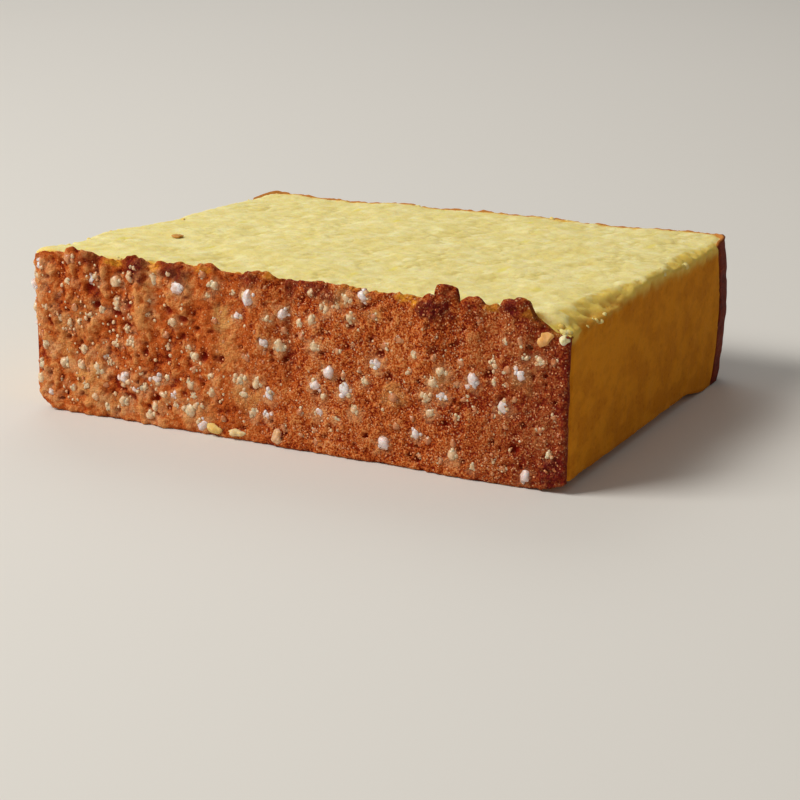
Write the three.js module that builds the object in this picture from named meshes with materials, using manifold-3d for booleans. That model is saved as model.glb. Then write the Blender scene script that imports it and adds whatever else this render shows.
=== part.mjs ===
// A thick slice of castella sponge cake, lying on one of its two cut faces.
//   +X runs along the sugared crust, -Y is the sugared crust, +Y the thin dark crust, +Z is up.
// The slice and the coarse sugar grains baked onto its crust are one solid. Lengths are millimetres.
import * as THREE from "three";
import { mergeVertices } from "three/addons/utils/BufferGeometryUtils.js";
import Module from "manifold-3d";

const wasm = await Module();
wasm.setup();

// ---- Slice ----
const HALF_LENGTH = 47.5; // half of the sugared crust's length
const HALF_DEPTH = 37; // half of the distance from one crust to the other, at the cut faces
const THICK_FRONT = 27.2; // thickness of the crumb behind the sugared crust
const THIN_BACK = 1.6; // how much thinner it is at the dark crust
const THIN_BACK_LEFT = 1.8; // and how much more at the left end of the dark crust
const SWELL = 0.3; // soft rise and fall of the upper cut face
const SWELL_SIZE = 9;
// The slice is laid out round the middle of its crusts. Its bulges, lip and grains shift the
// middle of its whole box to this place, which becomes the origin.
const MIDDLE = new THREE.Vector3(-0.45, 1, 0);

// Radii of the four upright edges, seen from above.
const EDGE_FRONT_LEFT = 3.6;
const EDGE_FRONT_RIGHT = 0.5;
const EDGE_BACK_RIGHT = 4.8;
const EDGE_BACK_LEFT = 6;

// The dark crust and the left end bulge between the cut faces.
const BULGE_BACK = 3.1;
const BULGE_LEFT = 0.7;
// Seen from above the left end stands out at the crust, then steps in towards the back.
const LEFT_OUT = 1.5;
const LEFT_STEP = { from: -35, to: -27, in: 0.8 };
const LEFT_LEAN = { from: -14, to: 2, in: 1.6 };
const LEFT_SWELLING = { at: -17, half: 6, out: 0.9 };

// ---- Upper lip of the sugared crust ----
const LIP_LEFT = 26.9;
const LIP_RIGHT = 27.5;
const LIP_CHANGE = [-22, -14];
const LIP_RAGGED = 0.28;
const LIP_RAGGED_SIZE = 1.9;
const LIP_THICK = 1.7; // crust standing up before the crumb begins
const LIP_STEP = 1.1; // distance over which it meets the crumb
const CORNER_BROKEN = { from: 39.9, to: 46.6, drop: 3.1, thinner: 1.1, wider: 1.9 };
const CORNER_ROUNDED = { from: -43.5, to: -47.5, drop: 1.3 };

// Crags that stand up from the lip. Each runs down the crust as a ridge.
const CRAGS = [
  { at: -37.5, half: 2.5, rise: 1.1, out: 0.5 },
  { at: -27.0, half: 2.2, rise: 0.9, out: 0.7 },
  { at: -20.3, half: 2.6, rise: 1.0, out: 0.5 },
  { at: -14.2, half: 1.7, rise: 0.9, out: 0.4 },
  { at: -5.2, half: 2.2, rise: 0.6, out: 0.5 },
  { at: 8.0, half: 4.6, rise: 0.5, out: 0.3 },
  { at: 24.9, half: 2.2, rise: 0.7, out: 0.9 },
  { at: 27.6, half: 1.7, rise: 2.3, out: 0.3 },
  { at: 31.6, half: 1.8, rise: 1.0, out: 0.4 },
  { at: 39.0, half: 2.5, rise: 1.8, out: 0.8 },
];
const RIDGE_FADE = 20; // a ridge fades away this far below the lip
const CRUST_SWELL = 0.35;
const CRUST_SWELL_WIDE = 5.5;
const CRUST_SWELL_TALL = 9;
const CREASE = { at: 0.2, half: 1.2, deep: 0.7 };

// ---- Worn edges ----
// The upper edge of the right end is worn to a shoulder of uneven width.
const SHOULDER_WIDTH = 0.9;
const SHOULDER_DROP = 0.4;
const SHOULDER_WEAR = [
  { at: -25, half: 14, width: 3.3, drop: 2.1 },
  { at: 17, half: 9, width: 1.6, drop: 0.9 },
];
const TORN = 0.45; // roughness of the torn crumb on that shoulder
const TORN_SIZE = 2.6;
const HEEL_RIGHT = { width: 9, lift: 1.8 }; // lower edge of the right end
const HEEL_RIGHT_BEHIND = { width: 1.5, lift: 0.3, from: 16, to: 26 }; // it is worn less from there
const FLAT_WITHIN = 0.05; // what would stand up less than this lies flat
const HEEL_BACK = { width: 2.8, lift: 1.5 }; // lower edge of the dark crust
const HEEL_FRONT = { width: 0.9, lift: 0.5 }; // lower edge of the sugared crust
const HEEL_LEFT = { width: 7.5, lift: 6.6, behind: 1.6 }; // lower left corner of the sugared crust
const EASE_BACK = { width: 1.4, drop: 0.5 }; // upper edge of the dark crust
const EASE_LEFT = { width: 1.8, drop: 0.7 }; // upper edge of the left end

// ---- Sugar grains on the crust ----
const GRAIN_SEED = 7717;
const GRAIN_COUNT = 160;
const GRAIN_LARGE = 1.95;
const GRAIN_SMALL = 1.05;
const GRAIN_GAP = 0.72; // least distance between two grains, as a share of the sum of their widths
const GRAIN_PROUD = 0.3; // how much of a grain stands out of the crust, as a share of its width
const GRAIN_TRIES = 400;
const FLAKE_SEED = 300;
// The grains that catch the eye: place along the crust, height above the base and width.
const EYE_CATCHING = [
  [-19.2, 24.0, 2.1],
  [-6.7, 24.2, 2.2],
  [-1.1, 22.2, 1.9],
  [13.3, 26.6, 1.7],
  [31.8, 15.5, 2.1],
  [37.2, 12.0, 2.0],
  [15.9, 16.1, 1.9],
  [-29.6, 6.9, 2.1],
  [-23.8, 7.7, 1.9],
  [-15.2, 1.4, 2.0],
  [41.0, 1.6, 1.8],
  [17.0, 3.2, 2.0],
  [10.3, 10.9, 2.0],
  [-3.3, 8.0, 1.9],
  [-45.4, 24.4, 2.0],
  [-47.2, 20.1, 2.0],
];

// Crumbs and flakes that cling to the crust: the place, the height, the three widths and a turn.
const FLAKE_PROUD = 0.55; // how much of a flake stands out of the crust, as a share of its thickness
const FLAKES = [
  { x: -13.2, z: 0.9, size: [3.2, 1.5, 1.7], turn: 0.2 },
  { x: -9.3, z: 0.8, size: [2.9, 1.3, 1.2], turn: -0.1 },
  { x: -1.6, z: 1.3, size: [2.0, 1.6, 2.6], turn: 0.3 },
  { x: 43.9, z: 23.9, size: [2.5, 1.2, 1.9], turn: -0.5 },
  { x: 46.9, z: 24.0, size: [1.6, 1.6, 1.5], turn: 0.4 },
];

// ---- Rows of the surface grid ----
const EDGE_ROWS = [0, 0.6, 1.5, 2.7];
const FRONT_ROWS = [0, 0.8, 1.7, 2.8, 4.6];
const COARSE_ROW = 2.05;
const FINE_ROW = 1.25;
const FINE_FROM = 21.5; // finer rows at the tall crags
const FINE_TO = 44.5;
const DEPTH_ROW = 8.5;
const HEIGHT_ROWS = [0, 0.035, 0.1, 0.2, 0.32, 0.45, 0.58, 0.71, 0.83, 0.94, 1];

const clamp = THREE.MathUtils.clamp;
const lerp = THREE.MathUtils.lerp;

/** 0 before a, 1 after b, smooth between. */
function smooth(a, b, value) {
  const t = clamp((value - a) / (b - a), 0, 1);
  return t * t * (3 - 2 * t);
}

/** A broad bump of height 1 with a flat top. */
function bump(value, at, half) {
  return Math.exp(-(((value - at) / half) ** 4));
}

/** Repeatable value from -1 to 1 for one point of a square lattice. */
function latticeValue(column, row, seed) {
  let h = Math.imul(column, 374761393) + Math.imul(row, 668265263) + Math.imul(seed, 362437);
  h = Math.imul(h ^ (h >>> 13), 1274126177);
  h ^= h >>> 16;
  return (h >>> 0) / 2147483648 - 1;
}

/** Smooth repeatable noise from -1 to 1. */
function noise(u, v, seed) {
  const column = Math.floor(u);
  const row = Math.floor(v);
  const s = smooth(0, 1, u - column);
  const t = smooth(0, 1, v - row);
  const low = lerp(latticeValue(column, row, seed), latticeValue(column + 1, row, seed), s);
  const high = lerp(latticeValue(column, row + 1, seed), latticeValue(column + 1, row + 1, seed), s);
  return lerp(low, high, t);
}

/** A repeatable draw from 0 to 1. */
function drawer(seed) {
  let state = seed >>> 0;
  return () => {
    state = (Math.imul(state, 1664525) + 1013904223) >>> 0;
    return state / 4294967296;
  };
}

/** Height of the crust's ragged upper lip. */
function lipHeight(x) {
  let z = lerp(LIP_LEFT, LIP_RIGHT, smooth(LIP_CHANGE[0], LIP_CHANGE[1], x));
  for (const crag of CRAGS) z += crag.rise * bump(x, crag.at, crag.half);
  z -= CORNER_BROKEN.drop * smooth(CORNER_BROKEN.from, CORNER_BROKEN.to, x);
  z -= CORNER_ROUNDED.drop * smooth(CORNER_ROUNDED.from, CORNER_ROUNDED.to, x);
  return z + LIP_RAGGED * noise(x / LIP_RAGGED_SIZE, 0.5, 11);
}

/** Share of a worn edge at a distance from that edge: 1 on the edge, 0 beyond the width. */
function wear(distance, width, power = 2) {
  return clamp(1 - distance / width, 0, 1) ** power;
}

/** Height of the upper cut face, crumb only. */
function crumbTop(x, y) {
  const back = (y + HALF_DEPTH) / (2 * HALF_DEPTH);
  const left = 0.5 - x / (2 * HALF_LENGTH);
  let z = THICK_FRONT - THIN_BACK * back - THIN_BACK_LEFT * back * left;
  z += SWELL * noise(x / SWELL_SIZE, y / SWELL_SIZE, 21);
  let width = SHOULDER_WIDTH;
  let drop = SHOULDER_DROP;
  for (const patch of SHOULDER_WEAR) {
    const share = bump(y, patch.at, patch.half);
    width += patch.width * share;
    drop += patch.drop * share;
  }
  const worn = wear(HALF_LENGTH - x, width, 1.2);
  z -= worn * (drop + TORN * noise(x / TORN_SIZE, y / TORN_SIZE, 22));
  z -= EASE_BACK.drop * wear(HALF_DEPTH - y, EASE_BACK.width);
  z -= EASE_LEFT.drop * wear(x + HALF_LENGTH, EASE_LEFT.width);
  return z;
}

/** Height of the upper surface, with the crust's lip. */
function topHeight(x, y) {
  const broken = smooth(CORNER_BROKEN.from, CORNER_BROKEN.to, x);
  const thick = LIP_THICK - CORNER_BROKEN.thinner * broken;
  const step = LIP_STEP + CORNER_BROKEN.wider * broken;
  const inside = smooth(thick, thick + step, y + HALF_DEPTH);
  return lerp(lipHeight(x), crumbTop(x, y), inside);
}

/** Height of the lower cut face: flat, with its edges worn upwards. */
function baseHeight(x, y) {
  const front = smooth(-26, -34, y);
  const rounding = clamp(1 - (x + HALF_LENGTH) / HEEL_LEFT.width, 0, 1);
  const left = (1 - Math.sqrt(1 - rounding ** 2)) * lerp(HEEL_LEFT.behind, HEEL_LEFT.lift, front);
  const behind = smooth(HEEL_RIGHT_BEHIND.from, HEEL_RIGHT_BEHIND.to, y);
  const width = lerp(HEEL_RIGHT.width, HEEL_RIGHT_BEHIND.width, behind);
  const right = lerp(HEEL_RIGHT.lift, HEEL_RIGHT_BEHIND.lift, behind) * wear(HALF_LENGTH - x, width);
  const back = HEEL_BACK.lift * wear(HALF_DEPTH - y, HEEL_BACK.width);
  const near = HEEL_FRONT.lift * wear(y + HALF_DEPTH, HEEL_FRONT.width);
  return Math.max(Math.max(left, right, back, near) - FLAT_WITHIN, 0);
}

/** How far the sugared crust stands out of its plane. */
function crustRelief(x, z) {
  let out = CRUST_SWELL * noise(x / CRUST_SWELL_WIDE, z / CRUST_SWELL_TALL, 31);
  const low = smooth(-RIDGE_FADE, -2, z - THICK_FRONT);
  for (const crag of CRAGS) out += crag.out * low * bump(x, crag.at, crag.half);
  out -= CREASE.deep * Math.exp(-(((x - CREASE.at) / CREASE.half) ** 2)) * smooth(6, 13, z);
  return out;
}

/** Radius of the upright edge nearest to a point. */
function edgeRadius(x, y) {
  if (y < 0) return x < 0 ? EDGE_FRONT_LEFT : EDGE_FRONT_RIGHT;
  return x < 0 ? EDGE_BACK_LEFT : EDGE_BACK_RIGHT;
}

/** Moves a point of the plain block (x, y, share of the height) onto the slice. */
function onSlice(x0, y0, share) {
  let x = x0;
  let y = y0;
  const radius = edgeRadius(x0, y0);
  const ex = Math.abs(x0) - (HALF_LENGTH - radius);
  const ey = Math.abs(y0) - (HALF_DEPTH - radius);
  if (ex > 0 && ey > 0) {
    const scale = Math.max(ex, ey) / Math.hypot(ex, ey);
    x = Math.sign(x0) * (HALF_LENGTH - radius + ex * scale);
    y = Math.sign(y0) * (HALF_DEPTH - radius + ey * scale);
  }
  const bottom = baseHeight(x, y);
  const z = lerp(bottom, topHeight(x, y), share);
  const middle = 1 - (2 * share - 1) ** 2;
  const atFront = 1 - smooth(0, 3, y + HALF_DEPTH);
  const atLeft = smooth(0, -HALF_LENGTH, x);
  const behind = smooth(LEFT_STEP.from, LEFT_STEP.to, y);
  const lean = LEFT_LEAN.in * smooth(LEFT_LEAN.from, LEFT_LEAN.to, y);
  const swelling = LEFT_SWELLING.out * bump(y, LEFT_SWELLING.at, LEFT_SWELLING.half);
  const left = lerp(-LEFT_OUT, LEFT_STEP.in + lean - swelling - BULGE_LEFT * middle, behind);
  return new THREE.Vector3(
    x + left * atLeft,
    y + BULGE_BACK * middle * smooth(0, HALF_DEPTH, y) - crustRelief(x, z) * atFront,
    z,
  );
}

/** Evenly spaced rows from one place to another. */
function rows(from, to, step) {
  const count = Math.max(1, Math.round((to - from) / step));
  return Array.from({ length: count }, (_, i) => lerp(from, to, i / count));
}

const xRows = [
  ...EDGE_ROWS.map((d) => d - HALF_LENGTH),
  ...rows(EDGE_ROWS.at(-1) - HALF_LENGTH, FINE_FROM, COARSE_ROW).slice(1),
  ...rows(FINE_FROM, FINE_TO, FINE_ROW),
  ...EDGE_ROWS.map((d) => HALF_LENGTH - d).reverse(),
];
const yRows = [
  ...FRONT_ROWS.map((d) => d - HALF_DEPTH),
  ...rows(FRONT_ROWS.at(-1) - HALF_DEPTH, HALF_DEPTH - EDGE_ROWS.at(-1), DEPTH_ROW).slice(1),
  ...EDGE_ROWS.map((d) => HALF_DEPTH - d).reverse(),
];

/** The slice without its grains: a box whose grid corners are moved onto the slice. */
function sliceGeometry() {
  const cells = [xRows.length - 1, yRows.length - 1, HEIGHT_ROWS.length - 1];
  const box = new THREE.BoxGeometry(...cells, ...cells);
  box.translate(cells[0] / 2, cells[1] / 2, cells[2] / 2);
  const corners = box.attributes.position;
  for (let i = 0; i < corners.count; i++) {
    const x0 = xRows[Math.round(corners.getX(i))];
    const y0 = yRows[Math.round(corners.getY(i))];
    const { x, y, z } = onSlice(x0, y0, HEIGHT_ROWS[Math.round(corners.getZ(i))]);
    corners.setXYZ(i, x, y, z);
  }
  return box;
}

/** Joins equal vertices and hands the geometry to manifold. */
function solidOf(geometry) {
  geometry.deleteAttribute("normal");
  geometry.deleteAttribute("uv");
  const merged = mergeVertices(geometry, 1e-4);
  return new wasm.Manifold(
    new wasm.Mesh({
      numProp: 3,
      vertProperties: merged.attributes.position.array,
      triVerts: new Uint32Array(merged.index.array),
    }),
  );
}

/** Place and outward direction on the sugared crust at a height above the base. */
function onCrust(x, height) {
  const share = clamp(height / topHeight(x, -HALF_DEPTH), 0, 1);
  const step = 0.4;
  const along = onSlice(clamp(x + step, -HALF_LENGTH, HALF_LENGTH), -HALF_DEPTH, share);
  along.sub(onSlice(clamp(x - step, -HALF_LENGTH, HALF_LENGTH), -HALF_DEPTH, share));
  const point = onSlice(x, -HALF_DEPTH, share);
  const outward = new THREE.Vector3(along.y, -along.x, 0).normalize();
  return { point, outward };
}

/** How thickly the grains lie: most at the left and along the lower edge. */
function grainDensity(x, z) {
  const left = smooth(8, -30, x);
  const low = smooth(9, 3, z);
  const patchy = 0.3 * noise(x / 7, z / 6, 41);
  const bare = 0.3 * smooth(21, 25, z) * smooth(8, 20, x);
  return 0.45 + 0.25 * left + 0.25 * low * smooth(16, -8, x) + patchy - bare;
}

/** Places and widths of the grains, the largest first. */
function grainPlaces() {
  const draw = drawer(GRAIN_SEED);
  const placed = EYE_CATCHING.map(([x, z, width]) => ({ x, z, width }));
  while (placed.length < GRAIN_COUNT) {
    const width = lerp(GRAIN_LARGE, GRAIN_SMALL, (placed.length / GRAIN_COUNT) ** 0.8);
    for (let i = 0; i < GRAIN_TRIES; i++) {
      const x = lerp(-HALF_LENGTH + 0.3, HALF_LENGTH - 1, draw());
      const z = lerp(0.9, lipHeight(x) - 1.2, draw());
      const wanted = draw() < grainDensity(x, z);
      const above = z > baseHeight(x, -HALF_DEPTH) + 0.8;
      const free = placed.every((g) => Math.hypot(g.x - x, g.z - z) > GRAIN_GAP * (g.width + width));
      if ((wanted && above && free) || i === GRAIN_TRIES - 1) {
        placed.push({ x, z, width });
        break;
      }
    }
  }
  return placed;
}

/** A blunt many-sided pebble, its three widths given, turned and moved to its place. */
function pebble(size, turn, place, seed) {
  const geometry = new THREE.IcosahedronGeometry(0.5, 0);
  const position = geometry.attributes.position;
  const p = new THREE.Vector3();
  for (let i = 0; i < position.count; i++) {
    p.fromBufferAttribute(position, i);
    const uneven = noise(p.x * 3.1 + seed * 1.7, p.y * 3.1 + p.z * 2.3, 51);
    p.multiplyScalar(1 + 0.14 * uneven);
    position.setXYZ(i, p.x * size[0], p.y * size[1], p.z * size[2]);
  }
  geometry.rotateY(turn);
  geometry.rotateZ(0.35 * Math.sin(seed * 2.4));
  geometry.translate(place.x, place.y, place.z);
  return geometry;
}

let slice = solidOf(sliceGeometry());
grainPlaces().forEach(({ x, z, width }, i) => {
  const { point, outward } = onCrust(x, z);
  const centre = point.addScaledVector(outward, width * (GRAIN_PROUD - 0.5));
  const tall = 1 + 0.25 * Math.sin(i * 1.9);
  slice = slice.add(solidOf(pebble([width, width, width * tall], i * 2.1, centre, i)));
});
FLAKES.forEach(({ x, z, size, turn }, i) => {
  const { point, outward } = onCrust(x, z);
  const centre = point.addScaledVector(outward, size[1] * (FLAKE_PROUD - 0.5));
  slice = slice.add(solidOf(pebble(size, turn, centre, FLAKE_SEED + i)));
});

const joined = slice.getMesh();
const geometry = new THREE.BufferGeometry();
geometry.setAttribute("position", new THREE.BufferAttribute(new Float32Array(joined.vertProperties), 3));
geometry.setIndex(new THREE.BufferAttribute(new Uint32Array(joined.triVerts), 1));
geometry.translate(-MIDDLE.x, -MIDDLE.y, -MIDDLE.z);
geometry.computeVertexNormals();

const material = new THREE.MeshStandardMaterial({ color: 0xdcc886, roughness: 0.9 });
const mesh = new THREE.Mesh(geometry, material);
mesh.name = "castella_slice";

const group = new THREE.Group();
group.name = "castella_sponge_cake";
group.add(mesh);

export default group;
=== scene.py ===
import itertools
import logging
import math
from dataclasses import dataclass, field
from enum import Enum

import bmesh
import bpy
import numpy as np
from mathutils import Matrix, Vector


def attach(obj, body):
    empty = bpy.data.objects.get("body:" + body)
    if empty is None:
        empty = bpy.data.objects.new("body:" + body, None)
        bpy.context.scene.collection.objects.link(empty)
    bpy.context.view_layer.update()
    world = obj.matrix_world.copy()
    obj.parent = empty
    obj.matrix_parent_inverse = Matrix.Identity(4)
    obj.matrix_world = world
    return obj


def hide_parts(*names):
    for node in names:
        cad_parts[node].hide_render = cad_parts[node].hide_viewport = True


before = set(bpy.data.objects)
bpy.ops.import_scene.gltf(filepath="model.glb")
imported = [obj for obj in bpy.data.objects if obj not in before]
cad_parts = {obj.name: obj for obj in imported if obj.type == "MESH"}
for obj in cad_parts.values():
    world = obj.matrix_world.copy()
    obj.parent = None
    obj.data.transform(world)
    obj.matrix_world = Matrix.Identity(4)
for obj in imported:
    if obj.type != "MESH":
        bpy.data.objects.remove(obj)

MM = 0.001
BODY = "root"
NODE = "castella_slice"
WORD = 0xFFFFFFFF
# Row at which a texture is read along a line.
LINE = 0.5
SUGAR_SEED = 2024

Array = np.ndarray
Colour = tuple[float, float, float]
Place = tuple[float, float]
Size = tuple[float, float, float]
Socket = bpy.types.NodeSocket

log = logging.getLogger("castella")


# ---- Repeatable noise ----
def smooth(start: float, end: float, value: Array) -> Array:
    """0 before start, 1 after end, smooth between."""
    share = np.clip((np.asarray(value, float) - start) / (end - start), 0.0, 1.0)
    return share * share * (3.0 - 2.0 * share)


def blend(first: Array, second: Array, share: Array) -> Array:
    """First at share 0, second at share 1."""
    return first + (second - first) * share


def bump(value: Array, at: float, half: float, steep: float = 4.0) -> Array:
    """A broad bump of height 1 with a flat top and steep sides."""
    return np.exp(-(np.abs((value - at) / half) ** steep))


def lattice_value(column: Array, row: Array, seed: int, plane: Array | int = 0) -> Array:
    """Repeatable values from -1 to 1 for points of a lattice.

    Args:
        column: Whole numbers along the first axis.
        row: Whole numbers along the second axis.
        seed: Picks one of many such lattices.
        plane: Whole numbers along the third axis, if there is one.

    Returns:
        One value for each point.
    """
    h = (column * 374761393 + row * 668265263 + plane * 1103515245 + seed * 362437) & WORD
    h = ((h ^ (h >> 13)) * 1274126177) & WORD
    return (h ^ (h >> 16)) / 2147483648.0 - 1.0


def noise(u: Array, v: Array, seed: int) -> Array:
    """Smooth repeatable noise from -1 to 1 over a plane.

    Args:
        u: First coordinate, in steps of the noise.
        v: Second coordinate, in steps of the noise.
        seed: Picks one of many such fields.

    Returns:
        One value for each point.
    """
    u, v = np.broadcast_arrays(np.asarray(u, float), np.asarray(v, float))
    column, row = np.floor(u).astype(np.int64), np.floor(v).astype(np.int64)
    s, t = smooth(0.0, 1.0, u - column), smooth(0.0, 1.0, v - row)
    low = blend(lattice_value(column, row, seed), lattice_value(column + 1, row, seed), s)
    high = blend(lattice_value(column, row + 1, seed), lattice_value(column + 1, row + 1, seed), s)
    return blend(low, high, t)


@dataclass(frozen=True)
class Fade:
    """A smooth change from 0 at one value to 1 at another."""

    start: float
    end: float

    def of(self, value: Array) -> Array:
        """How far the change has gone at a value."""
        return smooth(self.start, self.end, value)


@dataclass(frozen=True)
class Texture:
    """Unevenness over a plane: its two widths and its depth in millimetres, and its seed."""

    wide: float
    tall: float
    depth: float
    seed: int

    def of(self, u: Array, v: Array) -> Array:
        """The unevenness at places of the plane."""
        return self.depth * noise(np.asarray(u) / self.wide, np.asarray(v) / self.tall, self.seed)


@dataclass(frozen=True)
class Lumps:
    """Unevenness in space: its width along each axis and its depth in millimetres, and its seed."""

    wide: Size
    depth: float
    seed: int

    def of(self, points: Array) -> Array:
        """The unevenness at points.

        Args:
            points: Points in millimetres, one a row.

        Returns:
            One value for each point.
        """
        scaled = points / np.array(self.wide)
        cell = np.floor(scaled).astype(np.int64)
        part = smooth(0.0, 1.0, scaled - cell)
        total = np.zeros(len(points))
        for corner in itertools.product((0, 1), repeat=3):
            weight = np.prod(np.where(corner, part, 1.0 - part), axis=1)
            at = cell + corner
            total += weight * lattice_value(at[:, 0], at[:, 1], self.seed, at[:, 2])
        return self.depth * total


def layered(layers: tuple[Texture | Lumps, ...], *at: Array) -> Array:
    """The unevenness of several layers together."""
    return sum(layer.of(*at) for layer in layers)


@dataclass(frozen=True)
class Cells:
    """Uneven cells round scattered middles: their width along each axis, and their seed."""

    wide: Size
    seed: int
    jitter: float = 0.42

    def of(self, points: Array) -> tuple[Array, Array, Array]:
        """Finds the cell of each point.

        Args:
            points: Points in millimetres, one a row.

        Returns:
            The distance to the nearest middle and to the second nearest, both as shares of the
            width, and a value from -1 to 1 that belongs to the nearest cell.
        """
        scaled = points / np.array(self.wide)
        home = np.floor(scaled).astype(np.int64)
        first = np.full(len(points), np.inf)
        second = first.copy()
        own = np.zeros(len(points))
        for step in itertools.product((-1, 0, 1), repeat=3):
            at = home + step
            moved = [lattice_value(at[:, 0], at[:, 1], self.seed + axis, at[:, 2]) for axis in range(3)]
            far = np.linalg.norm(scaled - at - 0.5 - self.jitter * np.stack(moved, axis=1), axis=1)
            closer = far < first
            second = np.where(closer, first, np.minimum(second, far))
            own = np.where(closer, lattice_value(at[:, 0], at[:, 1], self.seed + 3, at[:, 2]), own)
            first = np.where(closer, far, first)
        return first, second, own


class Drawer:
    """Repeatable draws from 0 to 1, the same as the ones that placed the frame's grains."""

    def __init__(self, seed: int) -> None:
        """Starts the draws at a seed."""
        self.state = seed

    def draw(self) -> float:
        """The next draw."""
        self.state = (self.state * 1664525 + 1013904223) & WORD
        return self.state / 4294967296.0


# ---- Form of the slice ----
@dataclass(frozen=True)
class Crag:
    """A crag that stands up from the lip and runs down the crust as a ridge."""

    at: float
    half: float
    rise: float
    out: float
    steep: float = 4.0


@dataclass(frozen=True)
class Wear:
    """A worn stretch of an edge: where it is, how wide the wear is and how far it drops."""

    at: float
    half: float
    width: float
    drop: float


@dataclass(frozen=True)
class Heel:
    """A lower edge that is worn upwards: how wide the wear is and how far the edge lifts."""

    width: float
    lift: float


@dataclass(frozen=True)
class Grain:
    """A coarse sugar grain: its place along the crust, its height above the base and its width."""

    x: float
    z: float
    width: float


def worn(distance: Array, width: Array, power: float = 2.0) -> Array:
    """Share of a worn edge: 1 on the edge, 0 beyond the width."""
    return np.clip(1.0 - distance / width, 0.0, 1.0) ** power


@dataclass(frozen=True)
class SliceForm:
    """Outer form of the slice in millimetres, laid out round the middle of its two crusts."""

    half_length: float = 47.5
    half_depth: float = 37.0
    thick_front: float = 27.2
    thin_back: float = 1.6
    thin_back_left: float = 1.8
    swell: Texture = Texture(9.0, 9.0, 0.3, 21)
    middle: Size = (-0.45, 1.0, 0.0)
    # Radii of the upright edges: front left, front right, back right, back left.
    edge_radii: tuple[float, float, float, float] = (3.6, 0.5, 4.8, 6.0)
    bulge_back: float = 3.1
    bulge_left: float = 0.7
    left_out: float = 1.5
    left_step: Fade = Fade(-35.0, -27.0)
    left_in: float = 0.8
    left_lean: Fade = Fade(-14.0, 2.0)
    left_lean_in: float = 1.6
    left_swelling: Wear = Wear(-17.0, 6.0, 0.0, 0.9)
    lip_left: float = 26.9
    lip_right: float = 27.5
    lip_change: Fade = Fade(-22.0, -14.0)
    lip_ragged: Texture = Texture(1.9, 1.0, 0.28, 11)
    lip_thick: float = 1.7
    lip_step: float = 1.1
    corner_broken: Fade = Fade(39.9, 46.6)
    corner_drop: float = 3.1
    corner_thinner: float = 1.1
    corner_wider: float = 1.9
    corner_rounded: Fade = Fade(-43.5, -47.5)
    corner_rounded_drop: float = 1.3
    crumb_over_lip: float = 0.15
    crumb_rise: Fade = Fade(1.3, 3.2)
    crags: tuple[Crag, ...] = (
        Crag(-37.5, 2.5, 1.1, 0.5),
        Crag(-27.0, 2.2, 0.9, 0.7),
        Crag(-20.3, 2.6, 1.0, 0.5),
        Crag(-14.2, 1.7, 0.9, 0.4),
        Crag(-5.2, 2.2, 0.6, 0.5),
        Crag(8.0, 4.6, 0.5, 0.3),
        Crag(24.9, 2.2, 0.7, 0.9),
        Crag(27.6, 1.7, 2.3, 0.3, 12.0),
        Crag(31.6, 1.8, 1.0, 0.4, 6.0),
        Crag(39.0, 2.5, 1.8, 0.8, 8.0),
    )
    ridge: Fade = Fade(-20.0, -2.0)
    relief_ends: Fade = Fade(0.0, 3.0)
    probe: float = 0.4
    crust_swell: Texture = Texture(5.5, 9.0, 0.35, 31)
    crease_at: float = 0.2
    crease_half: float = 1.2
    crease_deep: float = 0.7
    crease_above: Fade = Fade(6.0, 13.0)
    shoulder: Wear = Wear(0.0, 0.0, 0.9, 0.4)
    shoulder_wear: tuple[Wear, ...] = (Wear(-25.0, 14.0, 3.3, 2.1), Wear(17.0, 9.0, 1.6, 0.9))
    shoulder_torn: Texture = Texture(2.6, 2.6, 0.45, 22)
    shoulder_power: float = 1.2
    ease_back: Heel = Heel(1.4, 0.5)
    ease_left: Heel = Heel(1.8, 0.7)
    heel_left: Heel = Heel(7.5, 6.6)
    heel_left_behind: float = 1.6
    heel_left_change: Fade = Fade(-26.0, -34.0)
    heel_right: Heel = Heel(9.0, 1.8)
    heel_right_behind: Heel = Heel(1.5, 0.3)
    heel_right_change: Fade = Fade(16.0, 26.0)
    heel_back: Heel = Heel(2.8, 1.5)
    heel_front: Heel = Heel(0.9, 0.5)
    flat_within: float = 0.05
    grain_seed: int = 7717
    grain_count: int = 160
    grain_large: float = 1.95
    grain_small: float = 1.05
    grain_gap: float = 0.72
    grain_tries: int = 400
    grain_power: float = 0.8
    grain_from_left: float = 0.3
    grain_from_ends: float = 1.3
    grain_lowest: float = 0.9
    grain_from_lip: float = 2.1
    grain_over_base: float = 0.8
    grain_patches: Texture = Texture(7.0, 6.0, 0.3, 41)
    density: float = 0.45
    denser: float = 0.25
    denser_left: Fade = Fade(8.0, -30.0)
    denser_low: Fade = Fade(9.0, 3.0)
    denser_low_left: Fade = Fade(16.0, -8.0)
    sparser: float = 0.3
    sparser_high: Fade = Fade(21.0, 25.0)
    sparser_high_right: Fade = Fade(8.0, 20.0)
    eye_catching: tuple[Grain, ...] = (
        Grain(-19.2, 24.0, 2.1), Grain(-6.7, 24.2, 2.2), Grain(-1.1, 22.2, 1.9), Grain(13.3, 26.6, 1.7),
        Grain(31.8, 15.5, 2.1), Grain(37.2, 12.0, 2.0), Grain(15.9, 16.1, 1.9), Grain(-29.6, 6.9, 2.1),
        Grain(-23.8, 7.7, 1.9), Grain(-15.2, 1.4, 2.0), Grain(41.0, 1.6, 1.8), Grain(17.0, 3.2, 2.0),
        Grain(10.3, 10.9, 2.0), Grain(-3.3, 8.0, 1.9), Grain(-45.4, 24.4, 2.0), Grain(-47.2, 20.1, 2.0),
    )

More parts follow.
